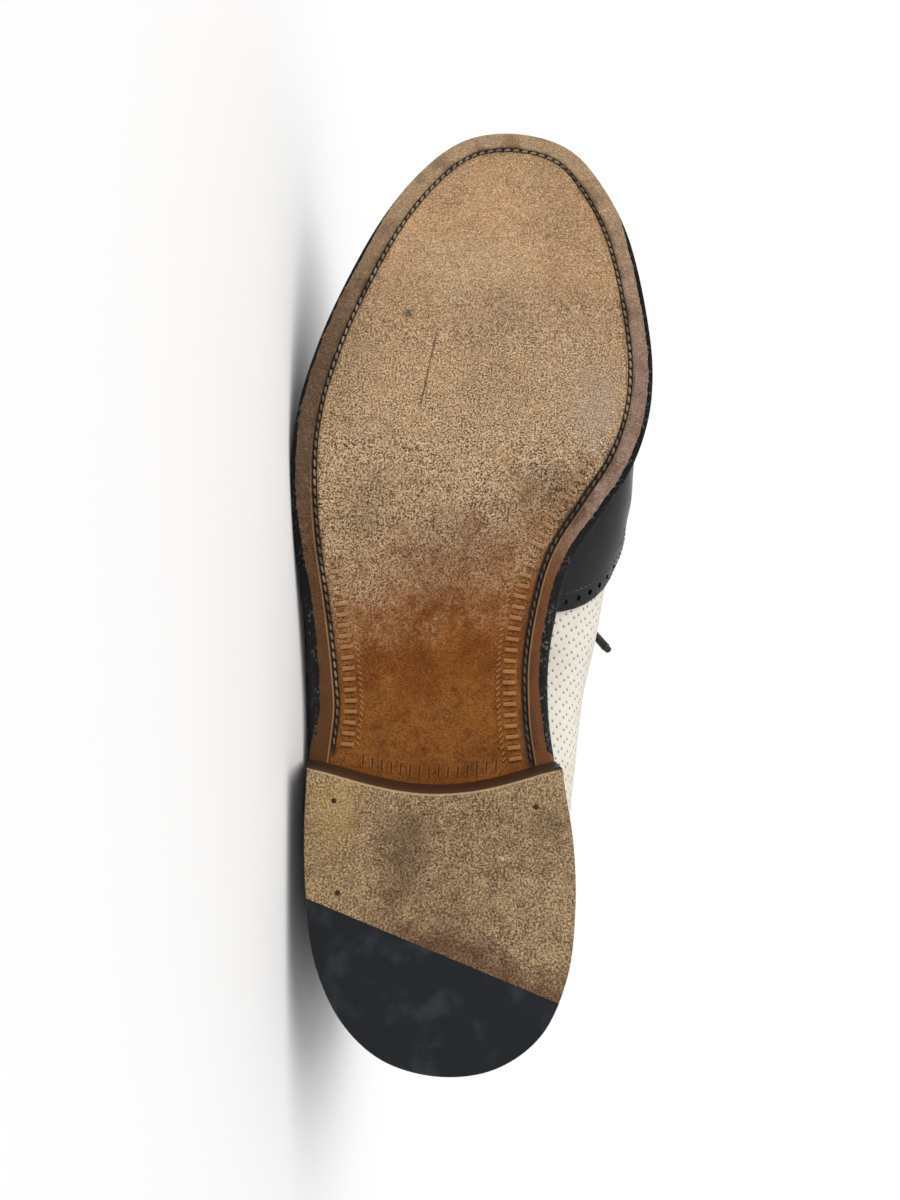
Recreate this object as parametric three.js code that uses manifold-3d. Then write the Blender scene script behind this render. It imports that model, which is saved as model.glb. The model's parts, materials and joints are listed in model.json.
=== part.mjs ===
// A man's spectator wing-tip oxford for the right foot, lying on its outer side.
// Modelled in the shoe's own frame, in millimetres: X from heel to toe, Y towards the inner
// side, Z up from the tread. The finished shoe is then laid on its outer side as one group.
import * as THREE from "three";
import { mergeVertices } from "three/addons/utils/BufferGeometryUtils.js";
import { ConvexHull } from "three/addons/math/ConvexHull.js";
import Module from "manifold-3d";

const wasm = await Module();
wasm.setup();

// Sole
const SOLE_LENGTH = 300;
const BALL_WIDTH = 112;
const HEEL_HEIGHT = 22;
const SEAT_PITCH = 2;
const TOE_SPRING = 10;
const OUTSOLE_THICKNESS = 5;
const WELT_THICKNESS = 2.6;
const TOP_PIECE_THICKNESS = 6;
const INSOLE_THICKNESS = 3.2;
const EDGE_BEVEL = 1.4;
const WAIST_BEVEL = 2.8;

// Upper
const INSTEP_HEIGHT = 105;
const BACK_HEIGHT = 61;
const WALL = 2;
const OVERLAY = 1.2;
const TONGUE_THICKNESS = 2.2;
const THROAT_WIDTH = 11;
const THROAT_END_WIDTH = 4;

// Lace
const LACE_DIAMETER = 2.4;
const LACE_BARS = 5;

// What lies on or beside its neighbour keeps this gap.
const FIT_GAP = 0.3;

// Places along the sole, as shares of its length
const BREAST = 0.28;
const BALL_START = 0.61;
const BALL_END = 0.7;
const HEEL_CENTRE = 0.15;
const TOE_CENTRE = 0.81;
const THROAT_TOP = 0.375;
const THROAT_END = 0.625;

// Outline of the sole: along is a share of its length, outer and inner of the ball width.
const OUTLINE = [
  { along: 0.01, outer: 0.145, inner: 0.131 },
  { along: 0.04, outer: 0.252, inner: 0.234 },
  { along: 0.09, outer: 0.33, inner: 0.291 },
  { along: 0.15, outer: 0.367, inner: 0.305 },
  { along: 0.207, outer: 0.385, inner: 0.295 },
  { along: 0.267, outer: 0.394, inner: 0.264 },
  { along: 0.317, outer: 0.412, inner: 0.246 },
  { along: 0.38, outer: 0.438, inner: 0.23 },
  { along: 0.437, outer: 0.467, inner: 0.241 },
  { along: 0.487, outer: 0.495, inner: 0.27 },
  { along: 0.537, outer: 0.513, inner: 0.344 },
  { along: 0.587, outer: 0.521, inner: 0.419 },
  { along: 0.64, outer: 0.513, inner: 0.462 },
  { along: 0.69, outer: 0.488, inner: 0.473 },
  { along: 0.755, outer: 0.44, inner: 0.457 },
  { along: 0.865, outer: 0.333, inner: 0.396 },
  { along: 0.93, outer: 0.239, inner: 0.321 },
  { along: 0.973, outer: 0.146, inner: 0.242 },
  { along: 0.992, outer: 0.066, inner: 0.164 },
];
const TOE_TIP_SHIFT = 0.045;
const OUTLINE_STEPS = 2;

// How far the heel seat (seat) and the welt stand out past that outline, and how far in the
// upper's lower edge lies (feather), all as shares of the ball width.
const EDGES = [
  { along: 0, seatOuter: 0.013, seatInner: 0.009, weltOuter: 0.013, featherOuter: 0.018, featherInner: 0.018 },
  { along: 0.15, seatOuter: 0.02, seatInner: 0.011, weltOuter: 0.02, featherOuter: 0.018, featherInner: 0.018 },
  { along: 0.26, seatOuter: 0.028, seatInner: 0.013, weltOuter: 0.028, featherOuter: 0.014, featherInner: 0.014 },
  { along: 0.33, seatOuter: 0, seatInner: 0, weltOuter: 0.025, featherOuter: 0.031, featherInner: 0.021 },
  { along: 0.44, seatOuter: 0, seatInner: 0, weltOuter: 0.004, featherOuter: 0.05, featherInner: 0.022 },
  { along: 0.52, seatOuter: 0, seatInner: 0, weltOuter: -0.004, featherOuter: 0.058, featherInner: 0.027 },
  { along: 0.6, seatOuter: 0, seatInner: 0, weltOuter: -0.004, featherOuter: 0.058, featherInner: 0.041 },
  { along: 0.68, seatOuter: 0, seatInner: 0, weltOuter: -0.004, featherOuter: 0.057, featherInner: 0.05 },
  { along: 1, seatOuter: 0, seatInner: 0, weltOuter: -0.004, featherOuter: 0.054, featherInner: 0.054 },
];

// Cross sections of the last. The bulges past the lower edge and their height are shares of the
// ball width, and round is the exponent of the superellipse above them.
const SECTIONS = [
  { along: 0, bulgeOuter: 0.034, bulgeInner: 0.034, bulgeHeight: 0.2, roundOuter: 1.95, roundInner: 1.95 },
  { along: 0.07, bulgeOuter: 0.028, bulgeInner: 0.036, bulgeHeight: 0.2, roundOuter: 1.75, roundInner: 1.75 },
  { along: 0.15, bulgeOuter: 0.02, bulgeInner: 0.045, bulgeHeight: 0.2, roundOuter: 1.56, roundInner: 1.58 },
  { along: 0.22, bulgeOuter: 0.02, bulgeInner: 0.072, bulgeHeight: 0.21, roundOuter: 1.55, roundInner: 1.56 },
  { along: 0.3, bulgeOuter: 0.027, bulgeInner: 0.129, bulgeHeight: 0.23, roundOuter: 1.6, roundInner: 1.6 },
  { along: 0.37, bulgeOuter: 0.034, bulgeInner: 0.166, bulgeHeight: 0.24, roundOuter: 1.66, roundInner: 1.66 },
  { along: 0.42, bulgeOuter: 0.036, bulgeInner: 0.183, bulgeHeight: 0.24, roundOuter: 1.7, roundInner: 1.7 },
  { along: 0.47, bulgeOuter: 0.034, bulgeInner: 0.177, bulgeHeight: 0.24, roundOuter: 1.74, roundInner: 1.75 },
  { along: 0.52, bulgeOuter: 0.03, bulgeInner: 0.147, bulgeHeight: 0.23, roundOuter: 1.78, roundInner: 1.8 },
  { along: 0.56, bulgeOuter: 0.026, bulgeInner: 0.1, bulgeHeight: 0.21, roundOuter: 1.82, roundInner: 1.86 },
  { along: 0.6, bulgeOuter: 0.022, bulgeInner: 0.058, bulgeHeight: 0.19, roundOuter: 1.87, roundInner: 1.93 },
  { along: 0.65, bulgeOuter: 0.019, bulgeInner: 0.028, bulgeHeight: 0.17, roundOuter: 1.9, roundInner: 1.97 },
  { along: 0.75, bulgeOuter: 0.017, bulgeInner: 0.02, bulgeHeight: 0.15, roundOuter: 2.1, roundInner: 2.15 },
  { along: 0.9, bulgeOuter: 0.014, bulgeInner: 0.015, bulgeHeight: 0.12, roundOuter: 2.3, roundInner: 2.3 },
  { along: 1, bulgeOuter: 0.013, bulgeInner: 0.013, bulgeHeight: 0.11, roundOuter: 2.35, roundInner: 2.35 },
];

// The ridge of the last: height is a share of the instep height, side of the ball width.
const RIDGE = [
  { along: 0.15, height: 1.22, side: -0.03 },
  { along: 0.25, height: 1.155, side: -0.025 },
  { along: 0.33, height: 1.075, side: -0.02 },
  { along: 0.38, height: 1, side: -0.012 },
  { along: 0.44, height: 0.905, side: -0.005 },
  { along: 0.5, height: 0.81, side: 0 },
  { along: 0.56, height: 0.715, side: 0.005 },
  { along: 0.62, height: 0.63, side: 0.01 },
  { along: 0.68, height: 0.56, side: 0.012 },
  { along: 0.74, height: 0.505, side: 0.015 },
  { along: 0.81, height: 0.462, side: 0.018 },
];

// Topline from the side: along is a share of the sole's length, rise of the back height above the seat.
const TOPLINE = [
  { along: -0.08, rise: 1.02 },
  { along: 0, rise: 1 },
  { along: 0.07, rise: 0.96 },
  { along: 0.14, rise: 0.88 },
  { along: 0.21, rise: 0.83 },
  { along: 0.28, rise: 0.88 },
  { along: 0.33, rise: 1.03 },
  { along: 0.368, rise: 1.2 },
];

const LOWER_ROWS = 3;
const UPPER_ROWS = 8;

// A column of a table at a share along the sole, on a smooth curve through its rows.
function columnAt(table, column, along) {
  const last = table.length - 1;
  if (along <= table[0].along) return table[0][column];
  if (along >= table[last].along) return table[last][column];
  let row = 0;
  while (table[row + 1].along < along) row += 1;
  const slopeAt = (index) => {
    const before = table[Math.max(index - 1, 0)];
    const after = table[Math.min(index + 1, last)];
    return (after[column] - before[column]) / (after.along - before.along);
  };
  const run = table[row + 1].along - table[row].along;
  const t = (along - table[row].along) / run;
  const start = table[row][column] * (1 + 2 * t) * (1 - t) ** 2 + slopeAt(row) * run * t * (1 - t) ** 2;
  const end = table[row + 1][column] * t * t * (3 - 2 * t) + slopeAt(row + 1) * run * t * t * (t - 1);
  return start + end;
}

const ease = (t) => t * t * (3 - 2 * t);

// Height of the sole's underside above the tread plane, with the seat over the heel.
function underside(along) {
  if (along < BREAST) return HEEL_HEIGHT + SEAT_PITCH * (1 - Math.max(along, 0) / BREAST);
  if (along < BALL_START) return HEEL_HEIGHT * (1 - ease((along - BREAST) / (BALL_START - BREAST)));
  if (along < BALL_END) return 0;
  return TOE_SPRING * ((along - BALL_END) / (1 - BALL_END)) ** 1.7;
}

const weltTop = (along) => underside(along) + OUTSOLE_THICKNESS + FIT_GAP + WELT_THICKNESS;
const featherHeight = (along) => weltTop(along) + FIT_GAP;

// Points round the sole from the back of the heel along the outer side to the toe and back.
// Each holds its place, its outward normal and the share along the sole that it has in common
// with its partner on the other side.
function outlinePoints() {
  const place = (row, side) => {
    const width = side < 0 ? row.outer : row.inner;
    return new THREE.Vector3(row.along * SOLE_LENGTH, side * width * BALL_WIDTH, 0);
  };
  const controls = [
    new THREE.Vector3(0, 0, 0),
    ...OUTLINE.map((row) => place(row, -1)),
    new THREE.Vector3(SOLE_LENGTH, TOE_TIP_SHIFT * BALL_WIDTH, 0),
    ...OUTLINE.map((row) => place(row, 1)).reverse(),
  ];
  const curve = new THREE.CatmullRomCurve3(controls, true, "centripetal");
  const count = controls.length * OUTLINE_STEPS;
  const points = [];
  for (let i = 0; i < count; i += 1) {
    const tangent = curve.getTangent(i / count);
    const normal = new THREE.Vector3(tangent.y, -tangent.x, 0).normalize();
    points.push({ at: curve.getPoint(i / count), normal, side: i <= count / 2 ? -1 : 1 });
  }
  points.forEach((point, i) => {
    const partner = points[(count - i) % count];
    point.along = (point.at.x + partner.at.x) / 2 / SOLE_LENGTH;
  });
  return points;
}

const AROUND = outlinePoints();
const COUNT = AROUND.length;
const partnerOf = (i) => (COUNT - i) % COUNT;

// A closed ring of points: the outline moved out by grow(point) at the height high(along).
function ring(grow, high) {
  return AROUND.map((point) => {
    const at = point.at.clone().addScaledVector(point.normal, grow(point));
    at.z = high(point.along);
    return at;
  });
}

const edge = (name) => (point) => {
  const column = name + (point.side < 0 ? "Outer" : "Inner");
  return columnAt(EDGES, column, point.along) * BALL_WIDTH;
};
const seatGrow = (point) => Math.max(edge("seat")(point), 0);
const weltGrow = (point) => {
  const outer = columnAt(EDGES, "weltOuter", point.along) * BALL_WIDTH;
  return point.side < 0 ? outer : seatGrow(point);
};
const featherGrow = (point) => -edge("feather")(point);

// A solid from loose triangles, whose shared corners are merged.
function solidFrom(triangles) {
  const loose = new THREE.BufferGeometry();
  loose.setAttribute("position", new THREE.Float32BufferAttribute(triangles.flatMap((p) => p.toArray()), 3));
  const merged = mergeVertices(loose, 1e-3);
  const index = merged.index.array;
  const kept = [];
  for (let i = 0; i < index.length; i += 3) {
    const [a, b, c] = [index[i], index[i + 1], index[i + 2]];
    if (a !== b && b !== c && c !== a) kept.push(a, b, c);
  }
  return new wasm.Manifold(
    new wasm.Mesh({
      numProp: 3,
      vertProperties: merged.attributes.position.array,
      triVerts: new Uint32Array(kept),
    }),
  );
}

const quad = (a, b, c, d) => [a, b, c, a, c, d];

// A solid of rings of the same count, lowest first, closed by strips from side to side.
function stack(rings) {
  const triangles = [];
  const next = (i) => (i + 1) % COUNT;
  for (let r = 0; r + 1 < rings.length; r += 1) {
    for (let i = 0; i < COUNT; i += 1) {
      triangles.push(...quad(rings[r][i], rings[r][next(i)], rings[r + 1][next(i)], rings[r + 1][i]));
    }
  }
  const low = rings[0];
  const high = rings[rings.length - 1];
  for (let i = 0; i < COUNT / 2; i += 1) {
    triangles.push(...quad(low[partnerOf(i)], low[partnerOf(i + 1)], low[i + 1], low[i]));
    triangles.push(...quad(high[i], high[i + 1], high[partnerOf(i + 1)], high[partnerOf(i)]));
  }
  return solidFrom(triangles);
}

// An upright prism over a plan outline of [x, y] points, from one height to another.
function planPrism(points, low, high) {
  const shape = new THREE.Shape(points.map(([x, y]) => new THREE.Vector2(x, y)));
  const geometry = new THREE.ExtrudeGeometry(shape, { depth: high - low, bevelEnabled: false });
  geometry.translate(0, 0, low);
  return solidFromGeometry(geometry);
}

// A smooth line through the points of an outline.
const SMOOTH_STEPS = 3;

function smoothed(points) {
  const curve = new THREE.CatmullRomCurve3(points.map(([a, b]) => new THREE.Vector3(a, b, 0)), false, "centripetal");
  return curve.getPoints(SMOOTH_STEPS * (points.length - 1)).map((point) => [point.x, point.y]);
}

// A prism right across the shoe over a side outline of [x, z] points, from one y to another.
function sidePrism(points, left, right) {
  const shape = new THREE.Shape(points.map(([x, z]) => new THREE.Vector2(x, z)));
  const geometry = new THREE.ExtrudeGeometry(shape, { depth: right - left, bevelEnabled: false });
  geometry.rotateX(Math.PI / 2);
  geometry.translate(0, right, 0);
  return solidFromGeometry(geometry);
}

function solidFromGeometry(geometry) {
  const flat = geometry.index ? geometry.toNonIndexed() : geometry;
  const place = flat.getAttribute("position");
  const triangles = [];
  for (let i = 0; i < place.count; i += 1) {
    triangles.push(new THREE.Vector3().fromBufferAttribute(place, i));
  }
  return solidFrom(triangles);
}

// The last: a grid of points, one rib for each outline point, rising from the lower edge over
// the bulge to the ridge. Ribs at the heel and the toe fan round one point of the ridge.
function lastGrid() {
  const ribs = AROUND.map((point) => {
    const base = point.at.clone().addScaledVector(point.normal, featherGrow(point));
    base.z = featherHeight(point.along);
    const spineAlong = Math.min(Math.max(point.along, HEEL_CENTRE), TOE_CENTRE);
    const spine = new THREE.Vector3(
      spineAlong * SOLE_LENGTH,
      columnAt(RIDGE, "side", spineAlong) * BALL_WIDTH,
      columnAt(RIDGE, "height", spineAlong) * INSTEP_HEIGHT,
    );
    const away = base.clone().sub(spine).setZ(0);
    const reach = away.length();
    away.normalize();
    const side = point.side < 0 ? "Outer" : "Inner";
    const bulge = columnAt(SECTIONS, "bulge" + side, point.along) * BALL_WIDTH;
    const round = columnAt(SECTIONS, "round" + side, point.along);
    const bulgeHeight = columnAt(SECTIONS, "bulgeHeight", point.along) * BALL_WIDTH;
    const at = (out, up) => new THREE.Vector3(spine.x + away.x * out, spine.y + away.y * out, up);
    const rows = [];
    for (let j = 0; j < LOWER_ROWS; j += 1) {
      const u = j / LOWER_ROWS;
      const rise = bulgeHeight * (0.45 * u + 0.55 * u * u);
      rows.push(at(reach + bulge * Math.sin((Math.PI / 2) * u), base.z + rise));
    }
    const start = base.z + bulgeHeight;
    for (let j = 0; j <= UPPER_ROWS; j += 1) {
      const angle = (Math.PI / 2) * (j / UPPER_ROWS);
      const out = j === UPPER_ROWS ? 0 : Math.cos(angle) ** (2 / round);
      const up = Math.sin(angle) ** (2 / round);
      rows.push(at((reach + bulge) * out, start + (spine.z - start) * up));
    }
    return rows;
  });
  return ribs;
}

const LAST = lastGrid();
const TOP_ROW = LOWER_ROWS + UPPER_ROWS;

// Outward normals of the last at each grid point, shared where ribs meet on the ridge.
function lastNormals() {
  const shared = new Map();
  const normals = LAST.map((rows, i) => {
    const before = LAST[(i + COUNT - 1) % COUNT];
    const after = LAST[(i + 1) % COUNT];
    return rows.map((at, j) => {
      const round = after[j].clone().sub(before[j]);
      const above = j < TOP_ROW ? rows[j + 1] : LAST[partnerOf(i)][TOP_ROW - 1];
      const below = j > 0 ? rows[j - 1] : at;
      const normal = round.cross(above.clone().sub(below));
      if (normal.lengthSq() < 1e-6) normal.set(0, 0, 1);
      normal.normalize();
      if (j === TOP_ROW) {
        const key = at.toArray().map((value) => value.toFixed(3)).join();
        if (!shared.has(key)) shared.set(key, new THREE.Vector3());
        shared.get(key).add(normal);
        return { key };
      }
      return normal;
    });
  });
  return normals.map((rows) => rows.map((normal) => (normal.key ? shared.get(normal.key).clone().normalize() : normal)));
}

const NORMALS = lastNormals();

// A closed form that follows the last at a distance, positive outwards. drop lengthens it
// straight down past the lower edge, for forms that are cut away from others.
function form(distance, drop = 0) {
  const moved = LAST.map((rows, i) =>
    rows.map((at, j) => {
      const normal = NORMALS[i][j].clone();
      if (j === 0) normal.setZ(0).normalize();
      return at.clone().addScaledVector(normal, distance);
    }),
  );
  const rings = [];
  if (drop > 0) rings.push(moved.map((rows) => rows[0].clone().setZ(rows[0].z - drop)));
  for (let j = 0; j <= TOP_ROW; j += 1) rings.push(moved.map((rows) => rows[j]));
  const triangles = [];
  for (let r = 0; r + 1 < rings.length; r += 1) {
    for (let i = 0; i < COUNT; i += 1) {
      const n = (i + 1) % COUNT;
      triangles.push(...quad(rings[r][i], rings[r][n], rings[r + 1][n], rings[r + 1][i]));
    }
  }
  const low = rings[0];
  for (let i = 0; i < COUNT / 2; i += 1) {
    triangles.push(...quad(low[partnerOf(i)], low[partnerOf(i + 1)], low[i + 1], low[i]));
  }
  return solidFrom(triangles);
}

// A layer that lies on the last between two distances from it.
const layer = (inside, outside) => form(outside).subtract(form(inside, WELT_THICKNESS));

const BEYOND = SOLE_LENGTH;
const x = (along) => along * SOLE_LENGTH;
const ridgeSide = (along) => columnAt(RIDGE, "side", along) * BALL_WIDTH;

// What is cut away above the topline, lowered by a margin.
const TOPLINE_END = 0.02;

function aboveTopline(margin = 0) {
  const seat = featherHeight(0);
  const points = smoothed(TOPLINE.map((row) => [x(row.along), seat + row.rise * BACK_HEIGHT - margin]));
  points.push([x(THROAT_TOP + TOPLINE_END), BEYOND], [-x(0.2), BEYOND], [-x(0.2), points[0][1]]);
  return sidePrism(points, -BALL_WIDTH, BALL_WIDTH);
}

// The throat, a slit that narrows from the collar to a round end; wide adds to each side.
function throat(wide, low) {
  const steps = 6;
  const outer = [];
  const inner = [];
  for (let k = 0; k <= steps; k += 1) {
    const along = THROAT_TOP - 0.03 + ((THROAT_END - THROAT_TOP + 0.03) * k) / steps;
    const width = THROAT_WIDTH + ((THROAT_END_WIDTH - THROAT_WIDTH) * k) / steps;
    outer.push([x(along), ridgeSide(along) - width / 2 - wide]);
    inner.unshift([x(along), ridgeSide(along) + width / 2 + wide]);
  }
  const tip = [x(THROAT_END) + THROAT_END_WIDTH / 2 + wide, ridgeSide(THROAT_END)];
  return planPrism([...outer, tip, ...inner], low, BEYOND);
}

const THROAT_FLOOR = 0.48 * INSTEP_HEIGHT;

// The heel's plan: everything behind the hollow breast curve, which leans forwards as it rises.
const BREAST_CURVE = [
  { side: -0.6, along: 0.268 },
  { side: -0.387, along: 0.262 },
  { side: -0.215, along: 0.2495 },
  { side: -0.09, along: 0.2455 },
  { side: 0.03, along: 0.2505 },
  { side: 0.13, along: 0.261 },
  { side: 0.257, along: 0.277 },
  { side: 0.6, along: 0.3 },
];
const BREAST_LEAN = 0.13;

function behindBreast(height) {
  const points = BREAST_CURVE.map((row) => [x(row.along) + BREAST_LEAN * height, row.side * BALL_WIDTH]);
  return [...smoothed(points), [-x(0.2), 0.6 * BALL_WIDTH], [-x(0.2), -0.6 * BALL_WIDTH]];
}

// A heel slice between two heights; each ring grows with its share of the heel's height.
function heelSlice(low, high) {
  const top = typeof high === "function" ? high : () => high;
  const flare = (height) => (point) => (seatGrow(point) * height) / HEEL_HEIGHT;
  const body = stack([ring(flare(low), () => low), ring(flare(HEEL_HEIGHT), top)]);
  const front = planPrism(behindBreast((low + HEEL_HEIGHT) / 2), -1, HEEL_HEIGHT + 3 * SEAT_PITCH);
  return body.intersect(front);
}

// The joint between the leather and the rubber of the top piece slants across the heel.
const WEDGE_OUTER = 0.1445;
const WEDGE_INNER = 0.0693;

function behindWedgeJoint(shift) {
  const far = 0.6 * BALL_WIDTH;
  const outerShare = 0.364;
  const slope = (x(WEDGE_OUTER) - x(WEDGE_INNER)) / ((outerShare + 0.261) * BALL_WIDTH);
  const at = (y) => x(WEDGE_OUTER) - slope * (y + outerShare * BALL_WIDTH) + shift;
  const points = [[at(-far), -far], [at(far), far], [-x(0.2), far], [-x(0.2), -far]];
  return planPrism(points, -1, TOP_PIECE_THICKNESS + 1);
}

// The sole's bevelled bottom edge is wider in the waist.
const bevelAt = (point) => {
  const waist = Math.max(0, 1 - Math.abs(point.along - 0.42) / 0.16);
  return EDGE_BEVEL + (WAIST_BEVEL - EDGE_BEVEL) * ease(waist);
};

function outsole() {
  const above = (rise) => (along) => underside(along) + rise;
  return stack([
    ring((point) => seatGrow(point) - bevelAt(point), underside),
    ring(seatGrow, above(0.36 * OUTSOLE_THICKNESS)),
    ring(seatGrow, above(OUTSOLE_THICKNESS)),
  ]);
}

function welt() {
  const low = (along) => underside(along) + OUTSOLE_THICKNESS + FIT_GAP;
  const hole = (point) => featherGrow(point) - WALL;
  const body = stack([ring(weltGrow, low), ring(weltGrow, weltTop)]);
  const inside = stack([ring(hole, (along) => low(along) - 1), ring(hole, (along) => weltTop(along) + 1)]);
  return body.subtract(inside);
}

function insole() {
  const grow = (point) => featherGrow(point) - WALL - FIT_GAP;
  const low = (along) => underside(along) + OUTSOLE_THICKNESS + FIT_GAP;
  return stack([ring(grow, low), ring(grow, (along) => low(along) + INSOLE_THICKNESS)]);
}

function heelStack() {
  const low = TOP_PIECE_THICKNESS + FIT_GAP;
  return heelSlice(low, (along) => underside(Math.min(along, BREAST)) - FIT_GAP);
}

const topPieceSlice = () => heelSlice(0, TOP_PIECE_THICKNESS);

function upper() {
  return form(0)
    .subtract(form(-WALL, 3 * WELT_THICKNESS))
    .subtract(aboveTopline())
    .subtract(throat(0, THROAT_FLOOR));
}

const OVER = FIT_GAP;
const OVER_TOP = FIT_GAP + OVERLAY;

// The wing cap from above: a point on the ridge, hollows beside it, then out towards the sides.
const WING_PLAN = [
  { along: 0.672, side: 0 },
  { along: 0.7, side: 0.022 },
  { along: 0.735, side: 0.05 },
  { along: 0.76, side: 0.09 },
  { along: 0.768, side: 0.135 },
  { along: 0.762, side: 0.185 },
  { along: 0.745, side: 0.24 },
  { along: 0.722, side: 0.295 },
  { along: 0.7, side: 0.338 },
  { along: 0.684, side: 0.365 },
];
const WING_SIDE_LIMIT = { along: 0.42, side: 0.15 };

// The wings' upper edge from the side: it sweeps down and back to the welt.
const WING_TAIL = [
  { along: 0.436, rise: -0.05 },
  { along: 0.443, rise: 0 },
  { along: 0.455, rise: 0.045 },
  { along: 0.47, rise: 0.09 },
  { along: 0.485, rise: 0.134 },
  { along: 0.5, rise: 0.168 },
  { along: 0.52, rise: 0.202 },
  { along: 0.55, rise: 0.236 },
  { along: 0.59, rise: 0.266 },
  { along: 0.64, rise: 0.304 },
  { along: 0.684, rise: 0.339 },
  { along: 0.7, rise: 0.352 },
  { along: 0.716, rise: 0.365 },
];

function wingCap() {
  const from = (side) => WING_PLAN.map((row) => [x(row.along), ridgeSide(row.along) + side * row.side * BALL_WIDTH]);
  const beside = (side) => [x(WING_SIDE_LIMIT.along), side * WING_SIDE_LIMIT.side * BALL_WIDTH];
  const corner = (along, side) => [x(along), side * 0.62 * BALL_WIDTH];
  const plan = planPrism(
    [
      ...smoothed(from(1).reverse()),
      ...smoothed(from(-1)).slice(1),
      beside(-1),
      corner(WING_SIDE_LIMIT.along, -1),
      corner(1.1, -1),
      corner(1.1, 1),
      corner(WING_SIDE_LIMIT.along, 1),
      beside(1),
    ],
    -1,
    BEYOND,
  );
  const tail = WING_TAIL.map((row) => [x(row.along), featherHeight(row.along) + row.rise * BALL_WIDTH]);
  const last = WING_TAIL[WING_TAIL.length - 1].along;
  const low = -HEEL_HEIGHT;
  const side = sidePrism(
    [...smoothed(tail), [x(last), BEYOND], [x(1.1), BEYOND], [x(1.1), low], [x(WING_TAIL[0].along), low]],
    -BALL_WIDTH,
    BALL_WIDTH,
  );
  return layer(OVER, OVER_TOP).intersect(plan).intersect(side);
}

// The counter's front edge from the side, swept back from the heel breast to the topline.
const COUNTER_EDGE = [
  { along: 0.2, rise: -0.2 },
  { along: 0.198, rise: 0.15 },
  { along: 0.178, rise: 0.4 },
  { along: 0.14, rise: 0.62 },
  { along: 0.105, rise: 0.8 },
  { along: 0.09, rise: 1.4 },
];

function heelCounter() {
  const points = smoothed(
    COUNTER_EDGE.map((row) => [x(row.along), featherHeight(0.1) + row.rise * BACK_HEIGHT]),
  );
  points.push([-x(0.2), points[points.length - 1][1]], [-x(0.2), points[0][1]]);
  return layer(OVER, OVER_TOP)
    .intersect(sidePrism(points, -BALL_WIDTH, BALL_WIDTH))
    .subtract(aboveTopline(OVERLAY));
}

// A facing beside the throat: a band that rounds in to the throat's end.
const FACING = [
  { along: 0.34, side: 0.2 },
  { along: 0.4, side: 0.195 },
  { along: 0.48, side: 0.18 },
  { along: 0.56, side: 0.155 },
  { along: 0.61, side: 0.12 },
  { along: 0.64, side: 0.075 },
  { along: 0.652, side: 0.03 },
];

function facing(side) {
  const outer = smoothed(
    FACING.map((row) => [x(row.along), ridgeSide(row.along) + side * row.side * BALL_WIDTH]),
  );
  const last = [x(0.656), ridgeSide(0.656) + side * FIT_GAP];
  const first = [x(0.34), ridgeSide(0.34) + side * FIT_GAP];
  const points = side > 0 ? [...outer, last, first].reverse() : [...outer, last, first];
  return layer(OVER, OVER_TOP)
    .intersect(planPrism(points, THROAT_FLOOR, BEYOND))
    .subtract(aboveTopline(FIT_GAP))
    .subtract(throat(0, THROAT_FLOOR));
}

// The tongue lies under the facings and stands out past the collar.
const TONGUE = [
  { along: 0.315, side: 0.13 },
  { along: 0.322, side: 0.175 },
  { along: 0.345, side: 0.195 },
  { along: 0.42, side: 0.18 },
  { along: 0.52, side: 0.15 },
  { along: 0.6, side: 0.11 },
  { along: 0.65, side: 0.07 },
];

function tongue() {
  const inside = -WALL - FIT_GAP;
  const outer = TONGUE.map((row) => [x(row.along), ridgeSide(row.along) - row.side * BALL_WIDTH]);
  const inner = TONGUE.map((row) => [x(row.along), ridgeSide(row.along) + row.side * BALL_WIDTH]);
  const outline = planPrism([...smoothed(outer), ...smoothed(inner.reverse())], THROAT_FLOOR, BEYOND);
  return form(inside).subtract(form(inside - TONGUE_THICKNESS, WELT_THICKNESS)).intersect(outline);
}

// Height of the last above a plan place beside the ridge, moved out by a distance.
const throughLast = new THREE.Raycaster();

function surfaceMesh(distance) {
  const mesh = new THREE.Mesh(geometryOf(form(distance)), new THREE.MeshBasicMaterial({ side: THREE.DoubleSide }));
  mesh.updateMatrixWorld(true);
  return mesh;
}

function heightOver(mesh, px, py) {
  throughLast.set(new THREE.Vector3(px, py, BEYOND), new THREE.Vector3(0, 0, -1));
  return throughLast.intersectObject(mesh)[0].point.z;
}

function geometryOf(solid) {
  const mesh = solid.getMesh();
  const geometry = new THREE.BufferGeometry();
  geometry.setAttribute("position", new THREE.BufferAttribute(new Float32Array(mesh.vertProperties), 3));
  geometry.setIndex(new THREE.BufferAttribute(new Uint32Array(mesh.triVerts), 1));
  return geometry;
}

// A round cord swept along points.
function cord(points, steps) {
  const section = new THREE.Shape();
  section.absarc(0, 0, LACE_DIAMETER / 2, 0, 2 * Math.PI);
  const path = new THREE.CatmullRomCurve3(points, false, "centripetal");
  return new THREE.ExtrudeGeometry(section, { steps, curveSegments: 4, bevelEnabled: false, extrudePath: path });
}

// Each crossing lies over both facings from eyelet to eyelet.
const BAR_REACH = 0.083;

function laceBar(mesh, along) {
  const reach = BAR_REACH * BALL_WIDTH;
  const points = [-1, -0.62, -0.25, 0.25, 0.62, 1].map((share) => {
    const py = ridgeSide(along) + share * reach;
    return new THREE.Vector3(x(along), py, heightOver(mesh, x(along), py));
  });
  return cord(points, 6);
}

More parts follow.
